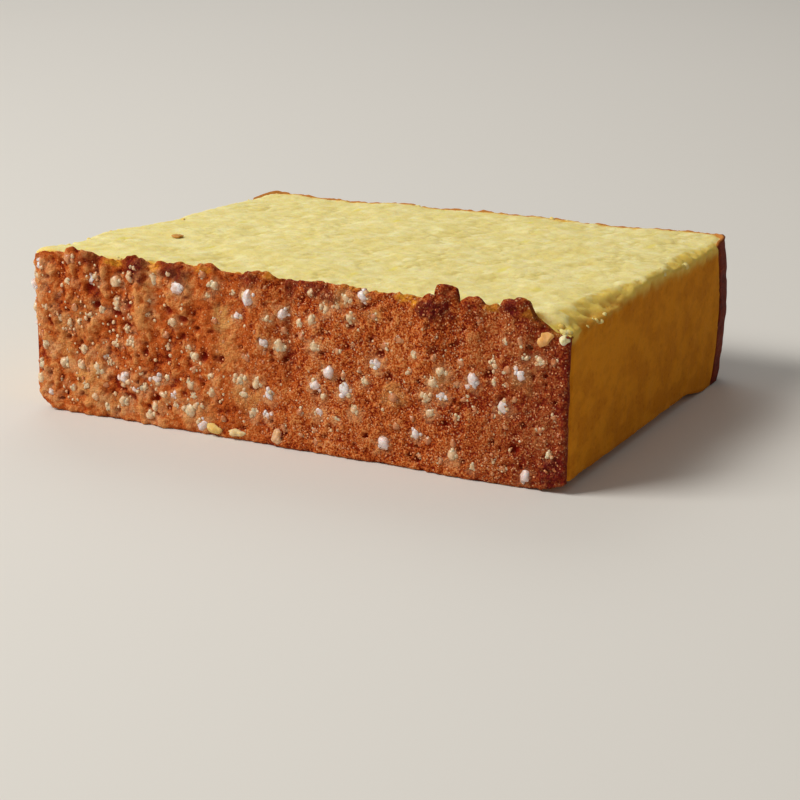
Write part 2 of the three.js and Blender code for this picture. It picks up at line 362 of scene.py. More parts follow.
    def lip_height(self, x: Array) -> Array:
        """Height of the crust's ragged upper lip.

        Args:
            x: Places along the slice.

        Returns:
            The heights.
        """
        z = blend(self.lip_left, self.lip_right, self.lip_change.of(x))
        for crag in self.crags:
            z = z + crag.rise * bump(x, crag.at, crag.half, crag.steep)
        z = z - self.corner_drop * self.corner_broken.of(x)
        z = z - self.corner_rounded_drop * self.corner_rounded.of(x)
        return z + self.lip_ragged.of(x, LINE)

    def plain_top(self, x: Array, y: Array) -> Array:
        """Height of the upper cut face without its worn edges.

        Args:
            x: Places along the slice.
            y: Places across it.

        Returns:
            The heights.
        """
        back = (y + self.half_depth) / (2.0 * self.half_depth)
        left = 0.5 - x / (2.0 * self.half_length)
        z = self.thick_front - self.thin_back * back - self.thin_back_left * back * left
        return z + self.swell.of(x, y)

    def shoulder_at(self, y: Array) -> tuple[Array, Array]:
        """Wear of the shoulder over the right end.

        Args:
            y: Places across the slice.

        Returns:
            The width and the drop of the wear.
        """
        width, drop = self.shoulder.width, self.shoulder.drop
        for patch in self.shoulder_wear:
            share = bump(y, patch.at, patch.half)
            width = width + patch.width * share
            drop = drop + patch.drop * share
        return width, drop

    def crumb_top(self, x: Array, y: Array) -> Array:
        """Height of the upper cut face, crumb only.

        Args:
            x: Places along the slice.
            y: Places across it.

        Returns:
            The heights.
        """
        width, drop = self.shoulder_at(y)
        z = self.plain_top(x, y)
        fallen = worn(self.half_length - x, width, self.shoulder_power)
        z = z - fallen * (drop + self.shoulder_torn.of(x, y))
        z = z - self.ease_back.lift * worn(self.half_depth - y, self.ease_back.width)
        return z - self.ease_left.lift * worn(x + self.half_length, self.ease_left.width)

    def top_height(self, x: Array, y: Array) -> Array:
        """Height of the upper surface, with the crust's lip.

        Args:
            x: Places along the slice.
            y: Places across it.

        Returns:
            The heights.
        """
        broken = self.corner_broken.of(x)
        thick = self.lip_thick - self.corner_thinner * broken
        step = self.lip_step + self.corner_wider * broken
        share = smooth(0.0, 1.0, (y + self.half_depth - thick) / step)
        return blend(self.lip_height(x), self.crumb_top(x, y), share)

    def crumb_height(self, x: Array, y: Array) -> Array:
        """Height of the crumb alone, which dips behind the lip where the lip is low.

        Args:
            x: Places along the slice.
            y: Places across it.

        Returns:
            The heights.
        """
        top = self.crumb_top(x, y)
        low = np.minimum(top, self.lip_height(x) + self.crumb_over_lip)
        return blend(low, top, self.crumb_rise.of(y + self.half_depth))

    def base_height(self, x: Array, y: Array) -> Array:
        """Height of the lower cut face: flat, with its edges worn upwards.

        Args:
            x: Places along the slice.
            y: Places across it.

        Returns:
            The heights.
        """
        rounding = np.clip(1.0 - (x + self.half_length) / self.heel_left.width, 0.0, 1.0)
        lift = blend(self.heel_left_behind, self.heel_left.lift, self.heel_left_change.of(y))
        left = (1.0 - np.sqrt(1.0 - rounding**2)) * lift
        behind = self.heel_right_change.of(y)
        width = blend(self.heel_right.width, self.heel_right_behind.width, behind)
        lift = blend(self.heel_right.lift, self.heel_right_behind.lift, behind)
        right = lift * worn(self.half_length - x, width)
        back = self.heel_back.lift * worn(self.half_depth - y, self.heel_back.width)
        near = self.heel_front.lift * worn(y + self.half_depth, self.heel_front.width)
        most = np.maximum(np.maximum(left, right), np.maximum(back, near))
        return np.maximum(most - self.flat_within, 0.0)

    def crust_relief(self, x: Array, z: Array) -> Array:
        """How far the sugared crust stands out of its plane.

        Args:
            x: Places along the crust.
            z: Heights above the base.

        Returns:
            The relief in millimetres.
        """
        out = self.crust_swell.of(x, z)
        low = self.ridge.of(z - self.thick_front)
        for crag in self.crags:
            out = out + crag.out * low * bump(x, crag.at, crag.half)
        crease = np.exp(-(((x - self.crease_at) / self.crease_half) ** 2)) * self.crease_above.of(z)
        return out - self.crease_deep * crease

    def on_slice(self, x0: Array, y0: Array, share: Array, crumb_only: bool = False) -> Array:
        """Moves points of the plain block onto the slice.

        Args:
            x0: Place along the block.
            y0: Place from the sugared crust to the dark crust.
            share: Share of the height, from 0 at the base to 1 at the top.
            crumb_only: Leaves out the crust's lip, which stands over the crumb.

        Returns:
            The points, one a row.
        """
        x0, y0, share = np.broadcast_arrays(*np.atleast_1d(x0, y0, share))
        front_left, front_right, back_right, back_left = self.edge_radii
        radius = np.where(
            y0 < 0, np.where(x0 < 0, front_left, front_right), np.where(x0 < 0, back_left, back_right)
        )
        ex = np.abs(x0) - (self.half_length - radius)
        ey = np.abs(y0) - (self.half_depth - radius)
        rounded = (ex > 0) & (ey > 0)
        scale = np.where(rounded, np.maximum(ex, ey) / np.maximum(np.hypot(ex, ey), 1e-9), 1.0)
        x = np.where(rounded, np.sign(x0) * (self.half_length - radius + ex * scale), x0)
        y = np.where(rounded, np.sign(y0) * (self.half_depth - radius + ey * scale), y0)
        bottom = self.base_height(x, y)
        top = self.crumb_height(x, y) if crumb_only else self.top_height(x, y)
        z = blend(bottom, top, share)
        middle = 1.0 - (2.0 * share - 1.0) ** 2
        at_front = 1.0 - self.relief_ends.of(y + self.half_depth)
        at_left = smooth(0.0, -self.half_length, x)
        inward = self.left_in + self.left_lean_in * self.left_lean.of(y) - self.bulge_left * middle
        inward = inward - self.left_swelling.drop * bump(y, self.left_swelling.at, self.left_swelling.half)
        left = blend(-self.left_out, inward, self.left_step.of(y))
        out = self.bulge_back * middle * smooth(0.0, self.half_depth, y)
        return np.stack([x + left * at_left, y + out - self.crust_relief(x, z) * at_front, z], axis=1)

    def on_crust(self, x: Array, height: Array) -> tuple[Array, Array]:
        """Places on the sugared crust.

        Args:
            x: Places along the crust.
            height: Heights above the base.

        Returns:
            The points and their outward directions, one a row.
        """
        x, height = np.atleast_1d(np.asarray(x, float), np.asarray(height, float))
        front, half = -self.half_depth, self.half_length
        share = np.clip(height / self.top_height(x, front), 0.0, 1.0)
        after = self.on_slice(np.clip(x + self.probe, -half, half), front, share)
        before = self.on_slice(np.clip(x - self.probe, -half, half), front, share)
        along = after - before
        outward = np.stack([along[:, 1], -along[:, 0], np.zeros(len(x))], axis=1)
        return self.on_slice(x, front, share), outward / np.linalg.norm(outward, axis=1, keepdims=True)

    def grain_density(self, x: Array, z: Array) -> Array:
        """How thickly the grains lie: most at the left and along the lower edge.

        Args:
            x: Places along the crust.
            z: Heights above the base.

        Returns:
            The density, mostly from 0 to 1.
        """
        density = self.density + self.denser * self.denser_left.of(x)
        density = density + self.denser * self.denser_low.of(z) * self.denser_low_left.of(x)
        density = density + self.grain_patches.of(x, z)
        return density - self.sparser * self.sparser_high.of(z) * self.sparser_high_right.of(x)

    def scatter(
        self, grains: list[Grain], count: int, widths: tuple[float, float], seed: int, gap: float
    ) -> list[Grain]:
        """Adds grains one by one, the largest first, clear of those that are there.

        Args:
            grains: Grains that already lie on the crust.
            count: Number of grains in all, at the end.
            widths: Width of the largest and of the smallest grain.
            seed: Seed of the draws.
            gap: Least distance between two grains, as a share of the sum of their widths.

        Returns:
            All the grains, the ones given first.
        """
        drawer = Drawer(seed)
        placed = list(grains)
        while len(placed) < count:
            width = blend(*widths, (len(placed) / count) ** self.grain_power)
            others = np.array([(g.x, g.z, g.width) for g in placed])
            start = -self.half_length + self.grain_from_left
            reach = 2.0 * self.half_length - self.grain_from_ends
            for attempt in range(self.grain_tries):
                x = start + reach * drawer.draw()
                z = self.grain_lowest + (float(self.lip_height(x)) - self.grain_from_lip) * drawer.draw()
                wanted = drawer.draw() < self.grain_density(x, z)
                above = z > self.base_height(x, -self.half_depth) + self.grain_over_base
                away = np.hypot(others[:, 0] - x, others[:, 1] - z)
                free = bool(np.all(away > gap * (others[:, 2] + width)))
                if (wanted and above and free) or attempt == self.grain_tries - 1:
                    placed.append(Grain(x, z, width))
                    break
        return placed

    def grain_places(self) -> list[Grain]:
        """The coarse grains of the frame's solid, the largest first."""
        widths, placed = (self.grain_large, self.grain_small), list(self.eye_catching)
        return self.scatter(placed, self.grain_count, widths, self.grain_seed, self.grain_gap)


# ---- Meshes ----
def rows(start: float, end: float, step: float) -> Array:
    """Evenly spaced rows from one place to another, both included."""
    return np.linspace(start, end, max(1, round((end - start) / step)) + 1)


def box_sheet(columns: Array, depths: Array, levels: Array) -> tuple[Array, Array]:
    """Lays a closed sheet of quads over a box of rows.

    Args:
        columns: Rows along the first axis.
        depths: Rows along the second axis.
        levels: Rows along the third axis.

    Returns:
        The corner points, one a row, and the quads as four corner numbers each, facing out.
    """
    shape = (len(columns), len(depths), len(levels))
    shell = np.ones(shape, bool)
    shell[1:-1, 1:-1, 1:-1] = False
    ids = np.full(shape, -1)
    ids[shell] = np.arange(shell.sum())
    i, j, k = np.nonzero(shell)
    corners = np.stack([columns[i], depths[j], levels[k]], axis=1)
    quads = []
    faces = (ids[0], ids[-1], ids[:, 0], ids[:, -1], ids[:, :, 0], ids[:, :, -1])
    for face, turned in zip(faces, (True, False, False, True, True, False)):
        ring = [face[:-1, :-1], face[1:, :-1], face[1:, 1:], face[:-1, 1:]]
        quads.append(np.stack([corner.ravel() for corner in (ring[::-1] if turned else ring)], axis=1))
    return corners, np.concatenate(quads)


def outward_normals(points: Array, faces: Array) -> Array:
    """Mean outward direction at each point of a closed sheet of quads.

    Args:
        points: Points of the sheet, one a row.
        faces: Its quads, as four corner numbers each.

    Returns:
        The directions, one a row.
    """
    a, b, c, d = (points[faces[:, corner]] for corner in range(4))
    across = np.cross(c - a, d - b)
    total = np.zeros_like(points)
    for corner in range(4):
        np.add.at(total, faces[:, corner], across)
    return total / np.maximum(np.linalg.norm(total, axis=1, keepdims=True), 1e-12)


@dataclass
class Sheet:
    """A closed sheet: points of the plain block, the same on the slice with their directions, and faces."""

    corners: Array
    points: Array
    normals: Array
    faces: Array


def lay_sheet(form: SliceForm, depths: Array, steps: Place, crumb_only: bool = False) -> Sheet:
    """Lays a closed sheet over a stretch of the slice, from end to end and from base to top.

    Args:
        form: The slice.
        depths: Rows across the plain block.
        steps: Distance between the rows along the slice, and between those up it.
        crumb_only: Leaves out the crust's lip.

    Returns:
        The sheet.
    """
    columns = rows(-form.half_length, form.half_length, steps[0])
    corners, faces = box_sheet(columns, depths, rows(0.0, 1.0, steps[1] / form.thick_front))
    points = form.on_slice(*corners.T, crumb_only=crumb_only)
    return Sheet(corners, points, outward_normals(points, faces), faces)


def make_piece(
    name: str, points: Array, faces: Array, masks: dict[str, Array], form: SliceForm
) -> bpy.types.Object:
    """Makes a piece of the slice from points in the slice's own layout.

    Args:
        name: Name of the piece.
        points: Points in millimetres, one a row.
        faces: Corner numbers of the faces, one face a row.
        masks: Named values or colours for each point, which the piece's finish reads.
        form: The slice, whose middle becomes the origin.

    Returns:
        The piece, riding on the slice's body.
    """
    mesh = bpy.data.meshes.new(name)
    mesh.from_pydata(((points - form.middle) * MM).tolist(), [], faces.tolist())
    for mask, values in masks.items():
        coloured = values.ndim == 2
        held = mesh.attributes.new(mask, "FLOAT_COLOR" if coloured else "FLOAT", "POINT")
        held.data.foreach_set("color" if coloured else "value", values.astype(np.float32).ravel())
    mesh.shade_smooth()
    mesh.validate()
    piece = bpy.data.objects.new(name, mesh)
    bpy.context.scene.collection.objects.link(piece)
    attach(piece, BODY)
    return piece


def dress(piece: bpy.types.Object, material: bpy.types.Material) -> bpy.types.Object:
    """Gives a piece its material."""
    piece.data.materials.append(material)
    return piece


def report(piece: bpy.types.Object) -> None:
    """Logs what a finished piece holds."""
    size = piece.dimensions / MM
    log.info("%s: %d faces, %.1f x %.1f x %.1f mm", piece.name, len(piece.data.polygons), *size)


# ---- Finishes ----
def srgb(red: float, green: float, blue: float) -> tuple[float, float, float, float]:
    """A colour given from 0 to 255 as a painter's tool shows it, as the linear values of a shader."""
    parts = (part / 255.0 for part in (red, green, blue))
    return (*(p / 12.92 if p <= 0.04045 else ((p + 0.055) / 1.055) ** 2.4 for p in parts), 1.0)


class Wiring:
    """Adds and joins the nodes of one shader tree."""

    def __init__(self, tree: bpy.types.NodeTree) -> None:
        """Starts with an empty tree.

        Args:
            tree: The tree to fill.
        """
        self.tree = tree
        tree.nodes.clear()

    def add(self, kind: str, **settings: object) -> bpy.types.Node:
        """Adds a node.

        Args:
            kind: Kind of the node.
            settings: Its settings by name.

        Returns:
            The node.
        """
        node = self.tree.nodes.new(kind)
        for name, value in settings.items():
            setattr(node, name, value)
        return node

    def feed(self, target: Socket, source: object) -> None:
        """Joins a socket to a source, or sets it to a plain value.

        Args:
            target: The socket to feed.
            source: Another socket, or the value.
        """
        if isinstance(source, bpy.types.NodeSocket):
            self.tree.links.new(source, target)
        else:
            target.default_value = source

    def mask(self, name: str) -> Socket:
        """Values that the mesh holds for each point."""
        return self.add("ShaderNodeAttribute", attribute_name=name).outputs["Fac"]

    def tint(self, name: str) -> Socket:
        """Colours that the mesh holds for each point."""
        return self.add("ShaderNodeAttribute", attribute_name=name).outputs["Color"]

    def place(self, stretch: Size = (1.0, 1.0, 1.0)) -> Socket:
        """The place on the object, in metres.

        Args:
            stretch: How far a pattern read there is stretched along each axis.

        Returns:
            The socket of the place.
        """
        node = self.add("ShaderNodeVectorMath", operation="DIVIDE")
        self.feed(node.inputs[0], self.add("ShaderNodeTexCoord").outputs["Object"])
        self.feed(node.inputs[1], stretch)
        return node.outputs["Vector"]

    def noise(
        self, size: object, detail: float = 2.0, roughness: float = 0.5, stretch: Size = (1.0, 1.0, 1.0)
    ) -> Socket:
        """Noise from 0 to 1.

        Args:
            size: Number of steps in a metre, or a socket that gives it.
            detail: How many finer layers it has.
            roughness: How strong the finer layers are.
            stretch: How far it is stretched along each axis.

        Returns:
            The socket of the noise.
        """
        node = self.add("ShaderNodeTexNoise")
        self.feed(node.inputs["Vector"], self.place(stretch))
        self.feed(node.inputs["Scale"], size)
        node.inputs["Detail"].default_value = detail
        node.inputs["Roughness"].default_value = roughness
        return node.outputs["Fac"]

    def cells(self, size: object, stretch: Size = (1.0, 1.0, 1.0)) -> bpy.types.Node:
        """Uneven cells round scattered middles.

        Args:
            size: Number of cells in a metre, or a socket that gives it.
            stretch: How far they are stretched along each axis.

        Returns:
            The node of the cells.
        """
        node = self.add("ShaderNodeTexVoronoi", feature="F1")
        self.feed(node.inputs["Vector"], self.place(stretch))
        self.feed(node.inputs["Scale"], size)
        return node

    def level(self, value: object, low: float, high: float, start: float = 0.0, end: float = 1.0) -> Socket:
        """Stretches a value smoothly.

        Args:
            value: The value, or its socket.
            low: Value that gives the start.
            high: Value that gives the end.
            start: Result at low and beyond.
            end: Result at high and beyond.

        Returns:
            The socket of the result.
        """
        node = self.add("ShaderNodeMapRange", interpolation_type="SMOOTHSTEP")
        names = ("Value", "From Min", "From Max", "To Min", "To Max")
        for name, given in zip(names, (value, low, high, start, end)):
            self.feed(node.inputs[name], given)
        return node.outputs["Result"]

    def work(self, operation: str, first: object, second: object) -> Socket:
        """Works out two values.

        Args:
            operation: What is done with them.
            first: The first value, or its socket.
            second: The second value, or its socket.

        Returns:
            The socket of the result.
        """
        node = self.add("ShaderNodeMath", operation=operation)
        self.feed(node.inputs[0], first)
        self.feed(node.inputs[1], second)
        return node.outputs["Value"]

    def total(self, *parts: tuple[object, float]) -> Socket:
        """Adds up values.

        Args:
            parts: Each value with its weight.

        Returns:
            The socket of the sum.
        """
        weighted = [self.work("MULTIPLY", value, weight) for value, weight in parts]
        found = weighted[0]
        for value in weighted[1:]:
            found = self.work("ADD", found, value)
        return found

    def mix(self, share: object, first: object, second: object, blend_type: str = "MIX") -> Socket:
        """Mixes two colours.

        Args:
            share: Share of the second colour.
            first: The first colour.
            second: The second colour.
            blend_type: Way of blending.

        Returns:
            The socket of the mixed colour.
        """
        node = self.add("ShaderNodeMix", data_type="RGBA", blend_type=blend_type)
        for socket, given in zip((node.inputs[0], node.inputs[6], node.inputs[7]), (share, first, second)):
            self.feed(socket, given)
        return node.outputs[2]

    def relief(self, height: Socket, depth: float, strength: float) -> Socket:
        """Fine relief.

        Args:
            height: The socket that gives its height.
            depth: Its depth in millimetres.
            strength: How strongly it shows.

        Returns:
            The socket of the surface's direction.
        """
        node = self.add("ShaderNodeBump")
        node.inputs["Distance"].default_value = depth * MM
        node.inputs["Strength"].default_value = strength
        self.feed(node.inputs["Height"], height)
        return node.outputs["Normal"]

    def group(self, tree: bpy.types.NodeTree, **given: object) -> bpy.types.Node:
        """Places a node group.

        Args:
            tree: The group.
            given: Its inputs by name.

        Returns:
            The node of the group.
        """
        node = self.add("ShaderNodeGroup", node_tree=tree)
        for name, value in given.items():
            self.feed(node.inputs[name], value)
        return node


class Kind(Enum):
    """What a socket of a node group carries."""

    NUMBER = "NodeSocketFloat"
    COLOUR = "NodeSocketColor"


class Effect:
    """A shader node group with named sockets."""

    def __init__(self, name: str, takes: dict[str, Kind], gives: dict[str, Kind]) -> None:
        """Makes the empty group.

        Args:
            name: Name of the group.
            takes: Its inputs.
            gives: Its outputs.
        """
        self.tree = bpy.data.node_groups.new(name, "ShaderNodeTree")
        for socket, kind in takes.items():
            self.tree.interface.new_socket(socket, in_out="INPUT", socket_type=kind.value)
        for socket, kind in gives.items():
            self.tree.interface.new_socket(socket, in_out="OUTPUT", socket_type=kind.value)
        self.wiring = Wiring(self.tree)
        self.taken = self.wiring.add("NodeGroupInput").outputs
        self.given = self.wiring.add("NodeGroupOutput").inputs


def sponge_effect() -> bpy.types.NodeTree:
    """Colour and fine relief of cut sponge: soft pale patches, deeper ones, and open pores darkened with
    painted shade.

    Returns:
        The node group.
    """
    takes = dict.fromkeys(("Pale", "Deep"), Kind.COLOUR) | dict.fromkeys(("Patches", "Pores"), Kind.NUMBER)
    effect = Effect("Cut sponge", takes, {"Colour": Kind.COLOUR, "Height": Kind.NUMBER})
    wiring = effect.wiring
    risen, fine_steps = (1.0, 1.3, 1.0), 2600.0
    patches = wiring.noise(effect.taken["Patches"], detail=2.0, roughness=0.55, stretch=risen)
    pores = wiring.cells(effect.taken["Pores"], stretch=risen).outputs["Distance"]
    fine = wiring.noise(fine_steps, detail=2.0, roughness=0.7)
    shade = wiring.level(patches, 0.38, 0.62, 1.0, 0.0)
    open_pore = wiring.level(pores, 0.1, 0.4, 1.0, 0.0)
    # The open pores take the deep colour as painted shade.
    deep = wiring.total((shade, 0.5), (open_pore, 0.25), (wiring.level(fine, 0.3, 0.7), 0.25))
    wiring.feed(effect.given["Colour"], wiring.mix(deep, effect.taken["Pale"], effect.taken["Deep"]))
    wiring.feed(effect.given["Height"], wiring.total((fine, 0.7), (open_pore, -0.6)))
    return effect.tree


def sandy_effect() -> bpy.types.NodeTree:
    """Colour and fine relief of baked crust: gaps darkened with painted shade, tops lightened with painted
    highlight, and sandy dots over them.

    Returns:
        The node group.
    """
    takes = dict.fromkeys(("Hollow", "Body", "Top"), Kind.COLOUR)
    takes |= dict.fromkeys(("Rise", "Sand"), Kind.NUMBER)
    gives = {"Colour": Kind.COLOUR, "Dots": Kind.NUMBER, "Height": Kind.NUMBER}
    effect = Effect("Sandy crust", takes, gives)
    wiring = effect.wiring
    rise, sandy = effect.taken["Rise"], effect.taken["Sand"]
    coarse_steps, fine_steps, dot_steps = 1150.0, 3300.0, 2500.0
    coarse = wiring.level(wiring.noise(coarse_steps, detail=2.0, roughness=0.6), 0.32, 0.68, -0.5, 0.5)
    fine = wiring.level(wiring.noise(fine_steps, detail=1.5, roughness=0.6), 0.3, 0.7, -0.5, 0.5)
    sandier = wiring.work("MULTIPLY", fine, sandy)
    height = wiring.total((rise, 1.0), (coarse, 0.55), (sandier, 0.95), (fine, 0.35))
    # Painted shade and highlight: the lower the crust, the nearer the hollow colour, the higher, the nearer
    # the top colour.
    colour = wiring.mix(wiring.level(height, -0.75, -0.02), effect.taken["Hollow"], effect.taken["Body"])
    colour = wiring.mix(wiring.level(height, 0.05, 0.75), colour, effect.taken["Top"])
    sand = wiring.cells(dot_steps)
    dot = wiring.level(sand.outputs["Distance"], 0.2, 0.46, 1.0, 0.0)
    lucky = wiring.level(sand.outputs["Color"], 0.5, 0.85)
    dots = wiring.work("MULTIPLY", wiring.work("MULTIPLY", dot, lucky), sandy)
    wiring.feed(effect.given["Colour"], colour)
    wiring.feed(effect.given["Dots"], dots)
    wiring.feed(effect.given["Height"], wiring.total((fine, 1.0), (coarse, 0.5), (dots, 0.8)))
    return effect.tree


@dataclass(frozen=True)
class Scatter:
    """How light scatters under a surface: its weight, its reach in millimetres and its spread."""

    weight: float = 0.0
    reach: float = 1.0
    spread: Colour = (1.0, 0.5, 0.2)


@dataclass(frozen=True)
class Surface:
    """What closes a material: the colour, the roughness, the fine relief and constant values."""

    colour: Socket
    roughness: object
    normal: Socket | None = None
    scatter: Scatter = Scatter()
    shine: float = 0.2

    def close(self, name: str, wiring: Wiring) -> None:
        """Adds the shader and joins it to the material.

        Args:
            name: Name of the shader node.
            wiring: The material's nodes.
        """
        shader = wiring.add("ShaderNodeBsdfPrincipled", name=name)
        wiring.feed(shader.inputs["Base Color"], self.colour)
        wiring.feed(shader.inputs["Roughness"], self.roughness)
        if self.normal is not None:
            wiring.feed(shader.inputs["Normal"], self.normal)
        shader.inputs["Specular IOR Level"].default_value = self.shine
        shader.inputs["Subsurface Weight"].default_value = self.scatter.weight
        shader.inputs["Subsurface Scale"].default_value = self.scatter.reach * MM
        shader.inputs["Subsurface Radius"].default_value = self.scatter.spread
        output = wiring.add("ShaderNodeOutputMaterial")
        wiring.feed(output.inputs["Surface"], shader.outputs["BSDF"])


def new_material(name: str) -> tuple[bpy.types.Material, Wiring]:
    """A new material.

    Args:
        name: Name of the material.

    Returns:
        The material and the wiring of its nodes.
    """
    material = bpy.data.materials.new(name)
    material.use_nodes = True
    return material, Wiring(material.node_tree)


@dataclass(frozen=True)
class CrumbFinish:
    """Cut sponge: pale yellow crumb, golden near the crusts, and painted shade on the loaf's sides (the
    slice's ends): the yellow crumb as it looks in warm shadow, golden on the shoulders and amber on the end
    faces.
    """

    pale: Colour = (244, 232, 168)
    deep: Colour = (226, 205, 120)
    # Painted shade in the creases and pores of the cut faces.
    crease: Colour = (202, 178, 94)
    yolk: Colour = (230, 210, 78)
    gold: Colour = (234, 168, 52)
    # Painted shade: the shoulder colour and the side colours stand for the yellow crumb in warm shadow on the
    # ends.
    shoulder: Colour = (234, 200, 96)
    side: Colour = (214, 134, 24)
    side_deep: Colour = (180, 103, 13)
    cut_steps: Place = (330.0, 1500.0)
    side_steps: Place = (260.0, 900.0)
    scatter: Scatter = Scatter(0.45, 1.5, (1.0, 0.72, 0.3))

    def material(self, sponge: bpy.types.NodeTree) -> bpy.types.Material:
        """The finish as a material.

        Args:
            sponge: The node group of cut sponge.

        Returns:
            The material.
        """
        material, wiring = new_material("sponge crumb")
        cut, side = (
            wiring.group(sponge, Pale=srgb(*pale), Deep=srgb(*deep), Patches=patches, Pores=pores)
            for pale, deep, (patches, pores) in (
                (self.pale, self.deep, self.cut_steps),
                (self.side, self.side_deep, self.side_steps),
            )
        )
        colour = wiring.mix(wiring.mask("tone"), cut.outputs["Colour"], srgb(*self.deep))
        # The crease colour paints shade; yolk and gold are the crumb's own colours.
        for name in ("crease", "yolk", "gold"):
            colour = wiring.mix(wiring.mask(name), colour, srgb(*getattr(self, name)))
        # Painted shade on the ends: golden where the surface starts to turn down, amber on the end faces.
        painted_end_shade = wiring.mask("painted_end_shade")
        colour = wiring.mix(wiring.level(painted_end_shade, 0.01, 0.14), colour, srgb(*self.shoulder))
        colour = wiring.mix(wiring.level(painted_end_shade, 0.16, 0.85), colour, side.outputs["Colour"])
        normal = wiring.relief(cut.outputs["Height"], depth=0.1, strength=0.5)
        Surface(colour, 0.9, normal, self.scatter, shine=0.08).close("sponge", wiring)
        return material


@dataclass(frozen=True)
class Baked:
    """Colours of baked crust: in its gaps, over most of it and on its tops; the gap colour is painted shade
    and the top colour painted highlight.
    """

    hollow: Colour
    body: Colour
    top: Colour

    def lay(self, wiring: Wiring, sandy: bpy.types.NodeTree) -> bpy.types.Node:
        """Lays the sandy crust in these colours, raised and sanded as the mesh's masks say.

        Args:
            wiring: The material's nodes.
            sandy: The node group of sandy crust.

        Returns:
            The node of the group.
        """
        colours = {name.title(): srgb(*colour) for name, colour in vars(self).items()}
        return wiring.group(sandy, **colours, Rise=wiring.mask("rise"), Sand=wiring.mask("sand"))


@dataclass(frozen=True)
class SugaredCrustFinish:
    """Baked crust under sugar: orange brown, with pits darkened by painted shade, purple burnt clumps and
    golden breaks; the burnt colour also paints shade towards the right end and on the right end face, and the
    sandy dots carry painted glints.
    """

    baked: Baked = Baked((124, 28, 0), (188, 88, 30), (222, 142, 80))
    # Painted glints on the crust's sandy dots.
    glitter: Colour = (248, 192, 142)
    tan: Colour = (224, 164, 94)
    melt: Colour = (224, 166, 114)
    gold: Colour = (240, 164, 48)
    # The colour of the burnt clumps, which also paints shade towards the right end and on the right end face.
    burn: Colour = (102, 20, 16)
    # Painted shade in the pits.
    pit: Colour = (126, 14, 0)
    patch_steps: float = 1900.0
    scatter: Scatter = Scatter(0.1, 0.5, (1.0, 0.4, 0.15))

    def material(self, sandy: bpy.types.NodeTree) -> bpy.types.Material:
        """The finish as a material.

        Args:
            sandy: The node group of sandy crust.

        Returns:
            The material.
        """
        material, wiring = new_material("sugared crust")
        crust = self.baked.lay(wiring, sandy)
        colour = crust.outputs["Colour"]
        uneven = wiring.noise(self.patch_steps, detail=2.0, roughness=0.65)
        patchy = wiring.level(uneven, 0.36, 0.62, 0.35, 1.0)
        for name in ("tan", "melt", "gold"):
            share = wiring.work("MULTIPLY", wiring.mask(name), patchy)
            colour = wiring.mix(share, colour, srgb(*getattr(self, name)))
        # Burnt clumps, and the painted shade that the burn mask also carries.
        share = wiring.work("MULTIPLY", wiring.mask("burn"), wiring.level(patchy, 0.35, 1.0, 0.7, 1.0))
        colour = wiring.mix(share, colour, srgb(*self.burn))
        # Painted glints on the sandy dots, fewer on the burnt clumps.
        unburnt = wiring.level(wiring.mask("burn"), 0.6, 0.95, 0.7, 0.2)
        shown = wiring.work("MULTIPLY", crust.outputs["Dots"], unburnt)
        colour = wiring.mix(shown, colour, srgb(*self.glitter))
        # Painted shade in the pits.
        colour = wiring.mix(wiring.mask("pit"), colour, srgb(*self.pit))
        roughness = wiring.level(crust.outputs["Dots"], 0.0, 1.0, 0.75, 0.45)
        normal = wiring.relief(crust.outputs["Height"], depth=0.16, strength=0.7)
        Surface(colour, roughness, normal, self.scatter, shine=0.08).close("crust", wiring)
        return material


@dataclass(frozen=True)
class DarkCrustFinish:
    """The loaf's thin dark crust, with an orange line where it meets the crumb."""

    baked: Baked = Baked((66, 12, 4), (112, 34, 10), (142, 60, 22))
    seam: Colour = (206, 136, 62)
    scatter: Scatter = Scatter(0.05, 0.4)

    def material(self, sandy: bpy.types.NodeTree) -> bpy.types.Material:
        """The finish as a material.

        Args:
            sandy: The node group of sandy crust.

        Returns:
            The material.
        """
        material, wiring = new_material("dark crust")
        crust = self.baked.lay(wiring, sandy)
        colour = wiring.mix(wiring.mask("seam"), crust.outputs["Colour"], srgb(*self.seam))
        normal = wiring.relief(crust.outputs["Height"], depth=0.08, strength=0.4)
        Surface(colour, 0.65, normal, self.scatter, shine=0.07).close("crust", wiring)
        return material


@dataclass(frozen=True)
class TintFinish:
    """Small bits that hold their own colours, dulled here and there, with light passing through."""

    name: str
    dull: Colour
    dulled: float
    roughness: float
    scatter: Scatter
    shine: float
    steps: float = 1900.0
    fine_steps: float = 4200.0

    def material(self) -> bpy.types.Material:
        """The finish as a material.

        Returns:
            The material.
        """
        material, wiring = new_material(self.name)
        uneven = wiring.noise(self.steps, detail=2.0)
        share = wiring.level(uneven, 0.35, 0.65, 0.0, self.dulled)
        colour = wiring.mix(share, wiring.tint("tint"), srgb(*self.dull), "MULTIPLY")
        normal = wiring.relief(wiring.noise(self.fine_steps), depth=0.06, strength=0.5)
        Surface(colour, self.roughness, normal, self.scatter, self.shine).close("bits", wiring)
        return material


SUGAR = TintFinish("sugar", (214, 178, 160), 0.45, 0.3, Scatter(0.45, 0.6, (1.0, 0.7, 0.5)), 0.5)
SUGAR_DUST = TintFinish("sugar dust", (220, 170, 140), 0.3, 0.5, Scatter(0.2, 0.3, (1.0, 0.6, 0.4)), 0.2)
LOOSE_CRUMB = TintFinish("loose crumb", (240, 222, 180), 0.5, 0.85, Scatter(0.4, 0.8, (1.0, 0.75, 0.3)), 0.1)


